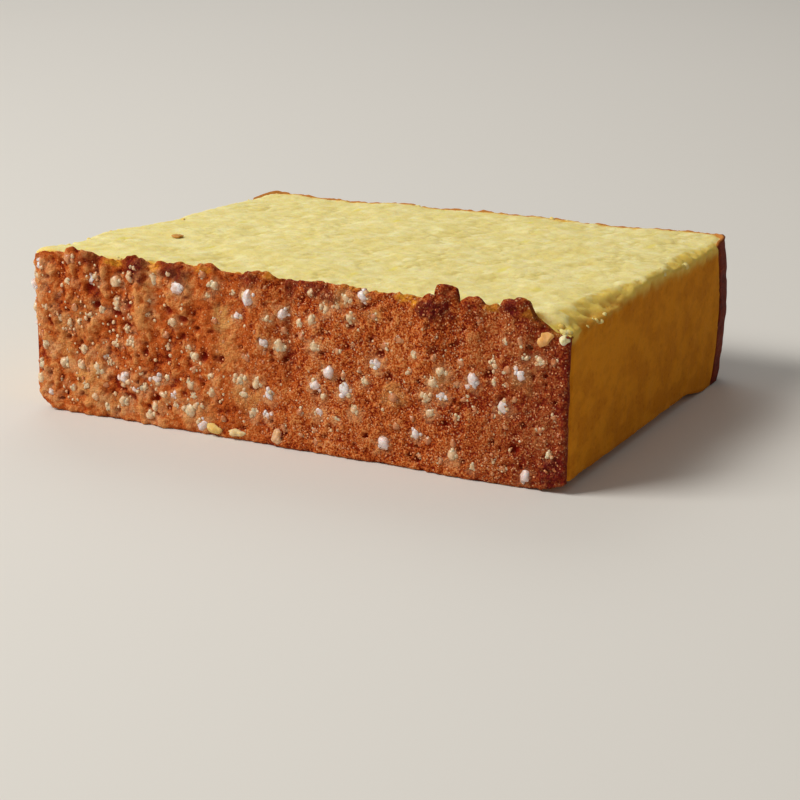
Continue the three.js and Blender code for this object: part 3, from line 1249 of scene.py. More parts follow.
# ---- Pieces ----
@dataclass
class CrumbBlock:
    """The sponge itself, from one cut face to the other, in millimetres."""

    form: SliceForm
    look: CrumbFinish = CrumbFinish()
    steps: Place = (0.44, 0.78)
    step_deep: float = 0.46
    behind_sugared: float = 1.1
    under_sugared: Fade = Fade(2.1, 1.3)
    behind_dark: float = 0.35
    under_dark: Fade = Fade(29.4, 30.4)
    under_back: Fade = Fade(0.8, 0.4)
    under_depth: float = 0.4
    ends: Fade = Fade(1.2, 0.6)
    level_face: Fade = Fade(0.3, 0.8)
    end_face: Fade = Fade(0.35, 0.85)
    end_calmed: float = 0.45
    lumps: tuple[Lumps, ...] = (
        Lumps((1.9, 2.4, 1.7), 0.1, 77),
        Lumps((1.0, 1.3, 1.0), 0.1, 78),
        Lumps((0.6, 0.75, 0.6), 0.08, 80),
    )
    bubbles: Cells = Cells((2.2, 2.9, 2.2), 72)
    bulge: float = 0.04
    creases: Fade = Fade(0.16, 0.02)
    crease_depth: float = 0.16
    folds: Texture = Texture(3.1, 5.0, 1.0, 76)
    folded: Fade = Fade(0.0, 0.6)
    pores: Cells = Cells((1.2, 1.5, 1.2), 79)
    pore_rim: Fade = Fade(0.28, 0.1)
    pore_depth: float = 0.18
    edge_lumps: tuple[Lumps, ...] = (Lumps((1.1, 1.3, 1.1), 0.26, 81), Lumps((0.7, 0.8, 0.7), 0.22, 82))
    edge: Fade = Fade(1.4, 0.2)
    shoulder: Fade = Fade(1.2, 0.4)
    shoulder_below: Fade = Fade(3.0, 0.8)
    # Where the painted shade on the ends lies: by drop below the top, raggedness and how far the surface
    # faces along the slice; lower at the left and near the lip, and weaker on the left end.
    skin_below: Fade = Fade(-0.9, 4.4)
    skin_lower_at_left: float = 1.8
    skin_left_share: float = 0.6
    skin_lower_at_lip: float = 1.7
    skin_ragged: tuple[Lumps, ...] = (Lumps((2.4, 2.8, 1.6), 0.5, 71), Lumps((1.0, 1.0, 0.8), 0.4, 73))
    skin_near_lip: Fade = Fade(7.0, 2.0)
    skin_face: Fade = Fade(0.06, 0.2)
    gold_front: Fade = Fade(3.0, 1.4)
    gold_front_ragged: Texture = Texture(1.4, 1.4, 0.5, 85)
    gold_patches: Texture = Texture(3.2, 3.2, 1.0, 87)
    gold_broken: Fade = Fade(-0.1, 0.5)
    gold_back: Fade = Fade(2.3, 0.9)
    gold_back_ragged: Texture = Texture(1.4, 1.4, 0.6, 86)
    yolks: tuple[Place, ...] = (
        (28.9, 3.1), (35.2, -20.6), (24.8, -9.8), (5.7, -26.1), (8.7, -17.3), (-32.1, 4.8),
        (-25.1, -18.5), (-41.3, -20.8), (18.0, 14.0), (-9.0, 19.0), (38.5, 21.0), (-14.5, -4.0),
        (12.0, 30.0), (-20.5, 26.0),
    )
    yolk_half: Place = (0.55, 1.8)
    yolk_ragged: Texture = Texture(0.8, 1.4, 0.5, 84)
    yolk_rim: Fade = Fade(1.5, 0.3)
    thickest: float = 0.45

    def yolk(self, x: Array, y: Array) -> Array:
        """How strongly the yolk-coloured spots show on the cut faces.

        Args:
            x: Places along the slice.
            y: Places across it.

        Returns:
            One value from 0 to 1 for each place.
        """
        most = np.zeros(len(x))
        ragged = self.yolk_ragged.of(x, y)
        for at in self.yolks:
            far = np.hypot((x - at[0]) / self.yolk_half[0], (y - at[1]) / self.yolk_half[1])
            most = np.maximum(most, self.yolk_rim.of(far + ragged))
        return most

    def build(self, sponge: bpy.types.NodeTree) -> bpy.types.Object:
        """Makes the mesh and its masks, and dresses it.

        Args:
            sponge: The node group of cut sponge.

        Returns:
            The piece.
        """
        form = self.form
        nearest, farthest = self.behind_sugared - form.half_depth, form.half_depth - self.behind_dark
        sheet = lay_sheet(form, rows(nearest, farthest, self.step_deep), self.steps, crumb_only=True)
        corners, points, normals = sheet.corners, sheet.points, sheet.normals
        share = corners[:, 2]
        front = corners[:, 1] + form.half_depth
        back = form.half_depth - corners[:, 1]
        end = form.half_length - np.abs(corners[:, 0])
        below = (1.0 - share) * form.thick_front
        up = self.level_face.of(normals[:, 2])
        down = self.level_face.of(-normals[:, 2])
        side = self.end_face.of(np.abs(normals[:, 0]))
        first, second, own = self.bubbles.of(points)
        crease = self.creases.of(second - first) * self.folded.of(self.folds.of(*points.T[:2]))
        pore = self.pore_rim.of(self.pores.of(points)[0])
        soft = layered(self.lumps, points)
        rise = soft + self.bulge * own - self.crease_depth * crease - self.pore_depth * pore
        rise = rise * (1.0 - self.end_calmed * side) * (1.0 - down)
        rise = rise - self.crease_depth * down * (pore + crease)
        from_right = (form.half_length - corners[:, 0]) / form.shoulder_at(corners[:, 1])[0]
        shoulder = self.shoulder.of(from_right) * self.shoulder_below.of(below)
        near_edge = self.edge.of(np.maximum(np.minimum(end, back), below)) * (share > 0.5)
        torn = layered(self.edge_lumps, points)
        rise = np.clip(rise + np.maximum(near_edge, shoulder) * torn, -self.thickest, 2.0 * self.thickest)
        covered = np.maximum(self.under_dark.of(corners[:, 1]), self.under_sugared.of(front))
        covered = np.maximum(covered * self.ends.of(end), self.under_back.of(back))
        rise = rise * (1.0 - covered) - self.under_depth * covered
        points = points + normals * rise[:, None]
        points[:, 2] = np.maximum(points[:, 2], 0.0)
        x, y, z = points.T
        # Painted shade on the ends, from how far the surface drops below the top and how far it faces along
        # the slice.
        ragged = layered(self.skin_ragged, points)
        drop = form.plain_top(x, y) - z - self.skin_lower_at_left * (x < 0.0)
        drop = drop - self.skin_lower_at_lip * self.skin_near_lip.of(front)
        painted_end_shade = self.skin_below.of(drop + ragged) * self.skin_face.of(np.abs(normals[:, 0]))
        painted_end_shade = painted_end_shade * np.where(x < 0.0, self.skin_left_share, 1.0)
        patchy = 0.4 + 0.6 * self.gold_broken.of(self.gold_patches.of(x, y))
        golden = np.maximum(
            self.gold_front.of(front + self.gold_front_ragged.of(x, y)) * patchy,
            self.gold_back.of(back + self.gold_back_ragged.of(x, y)),
        )
        masks = {
            "tone": np.clip(0.35 + 0.4 * own * smooth(0.0, 0.3, second - first) - 0.9 * soft, 0.0, 0.9),
            # Painted shade in the creases between bubbles and in the pores.
            "crease": 0.5 * np.clip(crease + 0.5 * pore, 0.0, 1.0) * (up + down),
            "yolk": 0.6 * self.yolk(x, y) * up,
            "gold": 0.8 * golden,
            "painted_end_shade": painted_end_shade,
        }
        crumb = make_piece("crumb", points, sheet.faces, masks, form)
        return dress(crumb, self.look.material(sponge))


@dataclass(frozen=True)
class Patch:
    """A patch of the crust: its middle, its half width and half height, and its strength."""

    x: float
    z: float
    wide: float
    tall: float
    strength: float = 1.0


def spread(patches: tuple[Patch, ...], x: Array, z: Array, ragged: Array) -> Array:
    """How strongly patches cover places on the crust.

    Args:
        patches: The patches.
        x: Places along the crust.
        z: Heights above the base.
        ragged: Uneven values that break up the patches' rims.

    Returns:
        One value from 0 to 1 for each place.
    """
    most = np.zeros(np.shape(x))
    for patch in patches:
        far = np.hypot((x - patch.x) / patch.wide, (z - patch.z) / patch.tall) + ragged
        most = np.maximum(most, patch.strength * smooth(1.3, 0.5, far))
    return most


@dataclass
class SugaredCrust:
    """The sugared crust: a slab with pits, burnt clumps and a ragged lip, in millimetres."""

    form: SliceForm
    look: SugaredCrustFinish = SugaredCrustFinish()
    steps: Place = (0.25, 0.25)
    depths: tuple[float, ...] = (0.0, 0.25, 0.5, 0.75, 1.0, 1.3, 1.65, 2.0)
    thickness: float = 0.9
    uneven_thickness: Texture = Texture(1.7, 3.0, 0.3, 90)
    proud: float = 0.06
    tuck: float = 0.5
    tuck_in: float = 0.85
    tuck_down: float = 0.5
    deepest: float = -0.85
    deep_pit: float = 0.6
    frill: tuple[Texture, ...] = (Texture(1.3, 1.0, 0.42, 93), Texture(0.6, 0.7, 0.26, 94))
    pits: tuple[Place, ...] = (
        (-35.5, 19.3), (-32.0, 18.4), (-29.4, 20.0), (-29.7, 16.5), (-19.2, 18.8), (-19.2, 15.9),
        (-26.3, 12.2), (-36.5, 21.9), (-21.9, 19.9), (-15.5, 13.0), (-12.0, 13.2), (-24.5, 4.8),
        (5.4, 9.9), (9.7, 12.5), (22.9, 2.0), (27.6, 8.1), (34.5, 17.0), (36.9, 13.4), (39.4, 6.2),
        (18.0, 14.6), (25.8, 19.7), (11.3, 21.7), (13.9, 25.2), (16.4, 17.9), (-0.4, 3.0),
    )
    pit_half: Place = (0.6, 0.95)
    pit_seed: int = 515
    small_pits: int = 140
    small_pit_area: tuple[Place, Place] = ((-46.0, 1.5), (46.0, 25.5))
    small_pit_half: Place = (0.28, 0.55)
    small_pit_strength: Place = (0.4, 0.9)
    clumps: tuple[Patch, ...] = (
        Patch(-37.4, 26.6, 2.6, 1.2, 0.6), Patch(-27.6, 26.4, 2.2, 2.2), Patch(-20.3, 26.6, 2.9, 1.7, 0.9),
        Patch(-18.9, 24.8, 1.5, 0.8, 0.6), Patch(-6.8, 27.0, 2.4, 1.3, 0.7), Patch(0.5, 26.0, 1.5, 2.6, 0.8),
        Patch(5.6, 26.6, 3.6, 1.5, 0.8), Patch(25.9, 26.3, 3.2, 1.9), Patch(27.6, 28.8, 1.7, 1.2, 0.7),
        Patch(31.7, 27.0, 1.9, 1.3, 0.6), Patch(38.2, 28.2, 2.4, 1.2), Patch(41.0, 26.0, 1.3, 1.6, 0.7),
        Patch(43.6, 24.4, 1.3, 1.6, 0.7), Patch(45.4, 3.2, 2.3, 3.4), Patch(47.1, 11.0, 0.9, 14.0, 0.8),
        Patch(0.0, 19.0, 1.0, 8.0, 0.5), Patch(-35.6, 22.0, 0.9, 4.0, 0.4), Patch(-29.6, 19.5, 0.8, 4.5, 0.4),
    )
    breaks: tuple[Patch, ...] = (
        Patch(-32.0, 26.6, 1.6, 0.6, 0.8), Patch(-23.9, 26.8, 1.1, 0.8, 0.8), Patch(20.2, 27.4, 1.5, 0.9),
        Patch(-14.9, 27.6, 1.4, 0.6, 0.6), Patch(22.4, 26.9, 0.9, 0.8), Patch(34.9, 27.6, 1.4, 0.8),
        Patch(11.6, 28.0, 1.6, 0.6, 0.7), Patch(43.0, 27.4, 2.8, 1.3), Patch(45.9, 25.3, 1.3, 1.0, 0.8),
        Patch(-3.0, 27.6, 1.6, 0.6, 0.5),
    )
    tans: tuple[Patch, ...] = (
        Patch(-11.6, 20.2, 1.7, 2.4), Patch(-37.3, 6.1, 3.2, 2.6, 0.8), Patch(-7.6, 7.4, 2.6, 2.2, 0.7),
        Patch(18.6, 11.6, 1.9, 2.2, 0.6), Patch(26.6, 15.2, 1.6, 1.3, 0.5), Patch(40.0, 16.9, 1.9, 2.2, 0.7),
        Patch(15.4, 24.0, 2.0, 1.2, 0.7), Patch(10.0, 26.0, 1.7, 1.2, 0.7), Patch(-33.5, 2.4, 4.0, 1.6, 0.7),
        Patch(-16.1, 3.6, 3.2, 2.0, 0.5), Patch(-42.0, 12.0, 1.8, 6.0, 0.6),
        Patch(-10.5, 15.0, 2.2, 3.4, 0.5), Patch(-39.0, 15.5, 1.4, 4.0, 0.5),
    )
    rim_ragged: Texture = Texture(0.7, 0.7, 0.3, 61)
    clumps_ragged: Texture = Texture(1.1, 0.9, 0.35, 62)
    breaks_ragged: Texture = Texture(0.9, 0.7, 0.45, 63)
    tans_ragged: Texture = Texture(1.3, 1.5, 0.5, 64)
    left_third: Fade = Fade(-6.0, -22.0)
    right_part: Fade = Fade(-16.0, 8.0)
    # Where the crust darkens towards its right end: painted shade.
    darker: Fade = Fade(22.0, 47.0)
    spongy: tuple[Texture, ...] = (Texture(1.25, 1.9, 0.12, 65), Texture(0.7, 0.85, 0.12, 66))
    sandy: Texture = Texture(0.42, 0.42, 0.08, 67)
    ridges: tuple[Texture, ...] = (Texture(1.7, 11.0, 0.3, 68), Texture(1.0, 5.0, 0.14, 70))
    knobbly: tuple[Texture, ...] = (Texture(0.95, 1.1, 0.22, 75), Texture(0.55, 0.55, 0.16, 83))
    craggy: tuple[Texture, ...] = (Texture(1.1, 0.9, 0.3, 69), Texture(0.55, 0.5, 0.22, 74))
    shades: Texture = Texture(3.6, 4.4, 0.3, 96)
    near_lip: Fade = Fade(-3.4, -0.6)
    outer_face: Fade = Fade(0.25, 0.75)
    upper_face: Fade = Fade(0.3, 0.8)
    # Faces turned to the right, away from the key lamp, which take the burnt colour as painted shade.
    end_face: Fade = Fade(0.4, 0.8)
    melt_ragged: Texture = Texture(0.7, 0.7, 0.4, 91)
    melt_rim: Fade = Fade(1.1, 0.4)
    melt_full: float = 1.7
    behind: Fade = Fade(0.5, 1.0)
    behind_ragged: Texture = Texture(0.8, 0.8, 0.3, 92)
    hollows: tuple[Patch, ...] = field(init=False)

    def __post_init__(self) -> None:
        """Adds small pits between the listed ones."""
        rng = np.random.default_rng(self.pit_seed)
        found = [Patch(x, z, *rng.uniform(*self.pit_half, 2)) for x, z in self.pits]
        for x, z in rng.uniform(*self.small_pit_area, (self.small_pits, 2)):
            half = rng.uniform(*self.small_pit_half, 2)
            found.append(Patch(x, z, *half, rng.uniform(*self.small_pit_strength)))
        self.hollows = tuple(found)

    def relief(self, x: Array, z: Array) -> tuple[Array, dict[str, Array]]:
        """How far the crust's own texture stands out, and the masks that go with it.

        Args:
            x: Places along the crust.
            z: Heights above the base.

        Returns:
            The relief in millimetres and the named masks.
        """
        left = self.left_third.of(x)
        right = self.right_part.of(x)
        ragged = self.rim_ragged.of(x, z)
        pit = spread(self.hollows, x, z, ragged)
        burn = spread(self.clumps, x, z, self.clumps_ragged.of(x, z) + ragged)
        gold = spread(self.breaks, x, z, self.breaks_ragged.of(x, z) + ragged)
        tan = spread(self.tans, x, z, self.tans_ragged.of(x, z))
        fine = layered(self.spongy, x, z) + self.sandy.of(x, z)
        ridges = left * layered(self.ridges, x, z)
        knobbly = (0.35 + 0.65 * left) * layered(self.knobbly, x, z)
        craggy = layered(self.craggy, x, z)
        at_lip = self.near_lip.of(z - self.form.lip_height(x))
        rise = fine + ridges + knobbly + craggy * np.maximum(0.8 * at_lip, burn)
        rise = rise + 0.3 * burn - self.deep_pit * pit
        # The crust's relief, weighted again, drives its painted shade in the gaps and painted highlight on
        # the tops.
        shade = 1.6 * fine + 1.9 * knobbly + 0.8 * ridges + 0.5 * craggy * at_lip
        masks = {
            # Drives the painted shade and highlight; a little lighter at the left and darker at the right.
            "rise": shade + self.shades.of(x, z) + 0.1 * left - 0.1 * right,
            # Painted shade in the pits.
            "pit": 0.9 * pit,
            # Burnt clumps, and painted shade darkening the crust towards its right end.
            "burn": np.maximum(burn, 0.65 * self.darker.of(x)),
            "gold": 0.9 * gold,
            "tan": np.maximum(0.8 * tan, 0.35 * left * smooth(0.0, 0.4, ridges + knobbly)),
            "sand": 0.2 + 0.8 * right,
        }
        return np.maximum(rise, self.deepest), masks

    def build(self, grains: list[Grain], sandy: bpy.types.NodeTree) -> bpy.types.Object:
        """Makes the mesh and its masks, and dresses it.

        Args:
            grains: The pale grains, round which the crust is paler with melted sugar.
            sandy: The node group of sandy crust.

        Returns:
            The piece.
        """
        form = self.form
        sheet = lay_sheet(form, np.array(self.depths) - form.half_depth, self.steps)
        corners, points, normals = sheet.corners, sheet.points, sheet.normals
        x, z = points[:, 0], points[:, 2]
        depth = corners[:, 1] + form.half_depth
        relief, masks = self.relief(x, z)
        facing = self.outer_face.of(-normals[:, 1])
        up = self.upper_face.of(normals[:, 2])
        frill = layered(self.frill, x, depth)
        thickness = self.thickness + self.uneven_thickness.of(x, z)
        tucked = smooth(0.0, self.tuck, depth - thickness)
        rise = self.proud + relief * facing + frill * up * (1.0 - tucked) - self.tuck_in * tucked * (1.0 - up)
        over = form.top_height(*corners.T[:2]) - form.crumb_height(*corners.T[:2])
        points = points + normals * rise[:, None]
        points[:, 2] -= tucked * corners[:, 2] * (np.maximum(over, 0.0) + self.tuck_down)
        points[:, 2] = np.maximum(points[:, 2], 0.0)
        melt = np.zeros(len(x))
        uneven = self.melt_ragged.of(x, z)
        for grain in grains:
            near = np.hypot(x - grain.x, z - grain.z) / grain.width + uneven
            melt = np.maximum(melt, self.melt_rim.of(near) * min(1.0, grain.width / self.melt_full))
        inside = self.behind.of(depth + self.behind_ragged.of(x, z))
        masks["melt"] = 0.65 * melt * facing
        masks["gold"] = np.maximum(masks["gold"], 0.8 * inside * up)
        masks["burn"] = masks["burn"] * (1.0 - 0.4 * inside * up)
        # Painted shade: faces turned to the right take the burnt colour.
        masks["burn"] = np.maximum(masks["burn"], 0.85 * self.end_face.of(normals[:, 0]))
        crust = make_piece("sugared_crust", points, sheet.faces, masks, form)
        return dress(crust, self.look.material(sandy))


@dataclass
class DarkCrust:
    """The thin dark crust on the other side, wrapped round the corners, in millimetres."""

    form: SliceForm
    look: DarkCrustFinish = DarkCrustFinish()
    steps: Place = (0.4, 0.4)
    depths: tuple[float, ...] = (
        9.2, 8.7, 8.2, 7.7, 7.2, 6.7, 6.2, 5.6, 5.0, 4.4, 3.8, 3.1, 2.4, 1.7, 1.1, 0.8, 0.5, 0.25, 0.0,
    )
    thickness: float = 0.5
    tuck: float = 0.9
    tuck_down: float = 1.3
    ragged: Texture = Texture(1.2, 1.4, 0.15, 107)
    wrap: Fade = Fade(28.9, 29.8)
    wrap_ragged: Texture = Texture(2.2, 1.7, 0.5, 104)
    wrinkles: tuple[Texture, ...] = (Texture(2.6, 1.7, 0.1, 101), Texture(0.9, 0.8, 0.06, 102))
    frills: tuple[Texture, ...] = (Texture(1.3, 1.0, 0.24, 108), Texture(0.6, 1.0, 0.14, 109))
    stands_up: float = 0.2
    pores: Cells = Cells((1.9, 1.9, 1.9), 103)
    pore_rim: Fade = Fade(0.28, 0.1)
    pore_depth: float = 0.22
    proud: float = 0.05
    upper_face: Fade = Fade(0.4, 0.9)
    inner_side: Fade = Fade(0.0, 0.3)
    shades: Texture = Texture(8.0, 7.0, 0.25, 110)
    seam: Fade = Fade(-0.1, 0.3)

    def build(self, sandy: bpy.types.NodeTree) -> bpy.types.Object:
        """Makes the mesh and its masks, and dresses it.

        Args:
            sandy: The node group of sandy crust.

        Returns:
            The piece.
        """
        form = self.form
        sheet = lay_sheet(form, form.half_depth - np.array(self.depths), self.steps)
        corners, points, normals = sheet.corners, sheet.points, sheet.normals
        x, y, z = points.T
        inset = np.minimum(form.half_depth - corners[:, 1], form.half_length - np.abs(corners[:, 0]))
        wrinkle = layered(self.wrinkles, x, z)
        pore = self.pore_rim.of(self.pores.of(points)[0])
        up = self.upper_face.of(normals[:, 2])
        outside = 1.0 - self.inner_side.of(inset - self.thickness - self.ragged.of(x, z))
        outside = outside * self.wrap.of(corners[:, 1] + self.wrap_ragged.of(y, z))
        raised = (self.stands_up + layered(self.frills, x, LINE)) * up
        rise = self.proud + (1.0 - up) * (wrinkle - self.pore_depth * pore) + raised
        rise = rise * outside - self.tuck * (1.0 - outside) * (1.0 - up)
        points = points + normals * rise[:, None]
        points[:, 2] -= (1.0 - outside) * corners[:, 2] * self.tuck_down
        points[:, 2] = np.maximum(points[:, 2], 0.0)
        masks = {
            # Drives painted highlight on the wrinkles and painted shade in the pores.
            "rise": 2.2 * wrinkle + self.shades.of(x, z) - 0.6 * pore,
            "sand": np.full(len(x), 0.15),
            "seam": 0.85 * self.seam.of(inset) * up,
        }
        crust = make_piece("dark_crust", points, sheet.faces, masks, form)
        return dress(crust, self.look.material(sandy))


@dataclass
class Bits:
    """Many small bits that are joined into one piece."""

    points: list[Array] = field(default_factory=list)
    faces: list[Array] = field(default_factory=list)
    tints: list[Array] = field(default_factory=list)
    count: int = 0

    def add(self, points: Array, faces: Array, tints: Array) -> None:
        """Adds one bit.

        Args:
            points: Its points in millimetres.
            faces: Its faces.
            tints: Its colour, or one colour for each point.
        """
        self.points.append(points)
        self.faces.append(faces + self.count)
        self.tints.append(np.broadcast_to(tints, (len(points), 4)))
        self.count += len(points)

    def piece(self, name: str, form: SliceForm, slot: str, look: TintFinish) -> bpy.types.Object:
        """Joins the bits into a piece and dresses it.

        Args:
            name: Name of the piece.
            form: The slice.
            slot: Not used.
            look: The finish.

        Returns:
            The piece.
        """
        masks = {"tint": np.concatenate(self.tints)}
        points, faces = np.concatenate(self.points), np.concatenate(self.faces)
        return dress(make_piece(name, points, faces, masks, form), look.material())


def ball(subdivisions: int) -> tuple[Array, Array]:
    """A round ball of width 1.

    Args:
        subdivisions: How finely it is divided.

    Returns:
        Its points and faces.
    """
    made = bmesh.new()
    bmesh.ops.create_icosphere(made, subdivisions=subdivisions, radius=0.5)
    points = np.array([corner.co[:] for corner in made.verts])
    faces = np.array([[corner.index for corner in face.verts] for face in made.faces])
    made.free()
    return points, faces


def crystal(points: Array, rng: np.random.Generator, facets: int, flat: float, far: float = 0.46) -> Array:
    """Cuts flat facets into a ball.

    Args:
        points: Points of the ball.
        rng: Source of the draws.
        facets: Number of facets.
        flat: Least distance of a facet from the middle.
        far: Largest distance of a facet from the middle.

    Returns:
        The points of the crystal.
    """
    for towards in rng.normal(size=(facets, 3)):
        towards = towards / np.linalg.norm(towards)
        over = points @ towards - rng.uniform(flat, far)
        points = points - np.outer(np.clip(over, 0.0, None), towards)
    return points


def turned(rng: np.random.Generator, most: float) -> Array:
    """A turn by random angles.

    Args:
        rng: Source of the draws.
        most: Largest angle about each axis, in radians.

    Returns:
        The turn as a matrix.
    """
    turn = Matrix.Identity(3)
    for axis in "XYZ":
        turn = Matrix.Rotation(rng.uniform(-most, most), 3, axis) @ turn
    return np.array(turn)


class SugarKind(Enum):
    """The kinds of sugar on the crust: colour where it stands out, and colour where it has melted in."""

    WHITE = ((248, 238, 238), (222, 176, 142))
    CREAM = ((240, 216, 176), (214, 150, 96))
    AMBER = ((216, 150, 100), (184, 98, 48))
    DUST = ((244, 176, 122), (204, 118, 64))

    def __init__(self, core: Colour, rim: Colour) -> None:
        """Keeps the colours of one kind of sugar.

        Args:
            core: Colour where it stands out.
            rim: Colour where it has melted in.
        """
        self.core = np.array(srgb(*core))
        self.rim = np.array(srgb(*rim))


@dataclass
class SugarGrains:
    """Coarse sugar set in the crust in small clusters, finer sugar between it, and sugar dust."""

    form: SliceForm
    crust: SugaredCrust
    fine_count: int = 420
    fine_widths: Place = (0.9, 0.4)
    fine_seed: int = 99
    fine_gap: float = 0.6
    white: tuple[Grain, ...] = (
        Grain(-47.3, 13.0, 1.6), Grain(-43.5, 2.5, 1.3), Grain(-33.5, 10.5, 1.4), Grain(-35.0, 23.5, 1.8),
        Grain(-27.5, 5.5, 1.5), Grain(-20.5, 5.5, 1.5), Grain(-9.0, 20.5, 1.5), Grain(-4.0, 17.0, 1.6),
        Grain(-3.5, 4.5, 1.6), Grain(7.5, 13.5, 1.9), Grain(5.0, 11.0, 1.9), Grain(5.5, 6.5, 1.7),
        Grain(27.0, 12.5, 1.6), Grain(22.5, 5.5, 1.7), Grain(40.0, 18.0, 1.7),
    )
    cream: tuple[Grain, ...] = (
        Grain(-45.5, 22.5, 1.7), Grain(-44.5, 10.5, 1.8), Grain(-45.5, 6.0, 1.6), Grain(-37.0, 11.0, 1.5),
        Grain(-34.5, 8.0, 1.7), Grain(-24.0, 25.0, 1.8), Grain(-30.0, 3.0, 2.1), Grain(-25.0, 1.3, 1.9),
        Grain(-17.5, 3.5, 2.2), Grain(-3.5, 21.0, 1.5), Grain(-1.5, 16.5, 1.7), Grain(-8.5, 10.0, 1.9),
        Grain(-5.5, 10.0, 1.7), Grain(10.5, 26.0, 1.7), Grain(7.0, 24.0, 1.7), Grain(4.5, 21.5, 1.6),
        Grain(5.0, 17.5, 1.7), Grain(12.0, 8.0, 1.7), Grain(25.5, 14.5, 1.7), Grain(24.5, 12.0, 1.9),
        Grain(25.0, 9.5, 1.7), Grain(29.0, 3.0, 1.7), Grain(35.5, 18.5, 1.5), Grain(43.0, 20.5, 1.5),
    )
    facets: int = 7
    flat: float = 0.36
    proud: Place = (0.2, 0.32)
    clear_of: float = 0.6
    main_share: Place = (1.0, 1.25)
    seeded_share: Place = (0.8, 1.0)
    beside: tuple[int, int] = (3, 7)
    beside_far: Place = (0.3, 0.55)
    beside_share: Place = (0.4, 0.65)
    beside_alike: float = 0.5
    cream_share: Place = (0.25, 0.5)
    creamier: Fade = Fade(-5.0, -25.0)
    narrowest: Size = (0.8, 0.8, 0.8)
    widest: Size = (1.2, 1.05, 1.4)
    tilt: float = 0.6
    melted_to: Place = (0.38, 0.46)
    clearness: Place = (0.8, 1.0)
    clouded: Lumps = Lumps((0.4, 0.4, 0.4), 0.2, 97)
    rough: Lumps = Lumps((0.34, 0.34, 0.34), 0.13, 98)
    lowest_seat: float = -0.15
    dust_step: float = 0.6
    dust_along: Place = (0.5, -0.4)
    dust_up: Place = (0.7, 0.6)
    dust_share: Place = (0.1, 0.7)
    dust_thicker: Fade = Fade(-22.0, 4.0)
    dust_patches: Texture = Texture(3.0, 3.0, 0.25, 95)
    dust_over_base: float = 0.3
    dust_under_lip: float = 0.4
    dust_widths: Place = (0.2, 0.42)
    dust_smaller: Place = (0.8, 1.1)
    dust_sunk: float = 0.18
    dust_uneven: Place = (0.75, 1.25)

    def choose(self, grains: list[Grain], rng: np.random.Generator) -> dict[Grain, SugarKind]:
        """The coarse grains that show: the listed ones, and the frame's own between them.

        Args:
            grains: The grains of the frame's solid.
            rng: Source of the draws.

        Returns:
            The grains and their kinds.
        """
        chosen = dict.fromkeys((*self.form.eye_catching, *self.white), SugarKind.WHITE)
        chosen |= dict.fromkeys(self.cream, SugarKind.CREAM)
        at = np.array([(grain.x, grain.z, grain.width) for grain in chosen])
        for grain in grains:
            away = np.hypot(at[:, 0] - grain.x, at[:, 1] - grain.z)
            if np.all(away > self.clear_of * (at[:, 2] + grain.width)):
                smaller = Grain(grain.x, grain.z, grain.width * rng.uniform(*self.seeded_share))
                chosen[smaller] = self.kind_of(grain, rng.uniform())
        return chosen

    def kind_of(self, grain: Grain, chance: float) -> SugarKind:
        """The kind of sugar that a seeded grain is: creamier at the left, more melted in at the right.

        Args:
            grain: The grain.
            chance: A draw from 0 to 1.

        Returns:
            The kind.
        """
        least, more = self.cream_share
        cream = least + more * float(self.creamier.of(grain.x))
        return SugarKind.CREAM if chance < cream else SugarKind.AMBER

    def seat(self, x: Array, z: Array, inwards: Array) -> tuple[Array, Array]:
        """Places on the crust's rough surface.

        Args:
            x: Places along the crust.
            z: Heights above the base.
            inwards: How far below the surface each place is.

        Returns:
            The points and their outward directions, one a row.
        """
        places, outward = self.form.on_crust(x, z)
        relief = np.maximum(self.crust.relief(np.atleast_1d(x), np.atleast_1d(z))[0], self.lowest_seat)
        return places + outward * (relief - inwards)[:, None], outward

    def lay(
        self, heap: Bits, shape: tuple[Array, Array], grain: Grain, kind: SugarKind, rng: np.random.Generator
    ) -> None:
        """Adds one crystal to a heap.

        Args:
            heap: The heap.
            shape: Points and faces of the ball that it is cut from.
            grain: Its place and width.
            kind: Its kind.
            rng: Source of the draws.
        """
        points = crystal(shape[0], rng, self.facets, self.flat)
        points = points * grain.width * rng.uniform(self.narrowest, self.widest)
        points = points @ turned(rng, self.tilt).T
        proud = rng.uniform(*self.proud)
        middle, outward = self.seat(grain.x, grain.z, np.array([grain.width * (0.5 - proud)]))
        out = points @ outward[0] / grain.width + self.clouded.of(points + middle[0])
        melted, clear = self.melted_to
        share = smooth(melted - proud, clear, out)[:, None] * rng.uniform(*self.clearness)
        points = points * (1.0 + self.rough.of(points + middle[0]))[:, None]
        heap.add(points + middle[0], shape[1], blend(kind.rim, kind.core, share))

    def coarse(self, chosen: dict[Grain, SugarKind], rng: np.random.Generator) -> bpy.types.Object:
        """The coarse grains, each a crystal with smaller ones grown to it.

        Args:
            chosen: The grains and their kinds.
            rng: Source of the draws.

        Returns:
            The piece.
        """
        heap, large, small = Bits(), ball(3), ball(2)
        for grain, kind in chosen.items():
            main = Grain(grain.x, grain.z, grain.width * rng.uniform(*self.main_share))
            self.lay(heap, large, main, kind, rng)
            for _ in range(rng.integers(*self.beside)):
                angle, far = rng.uniform(0.0, 2.0 * math.pi), grain.width * rng.uniform(*self.beside_far)
                width = grain.width * rng.uniform(*self.beside_share)
                beside = Grain(grain.x + far * math.cos(angle), grain.z + far * math.sin(angle), width)
                alike = rng.uniform() < self.beside_alike
                self.lay(heap, small, beside, kind if alike else SugarKind.CREAM, rng)
        return heap.piece("sugar_coarse", self.form, "sugar_grain", SUGAR)

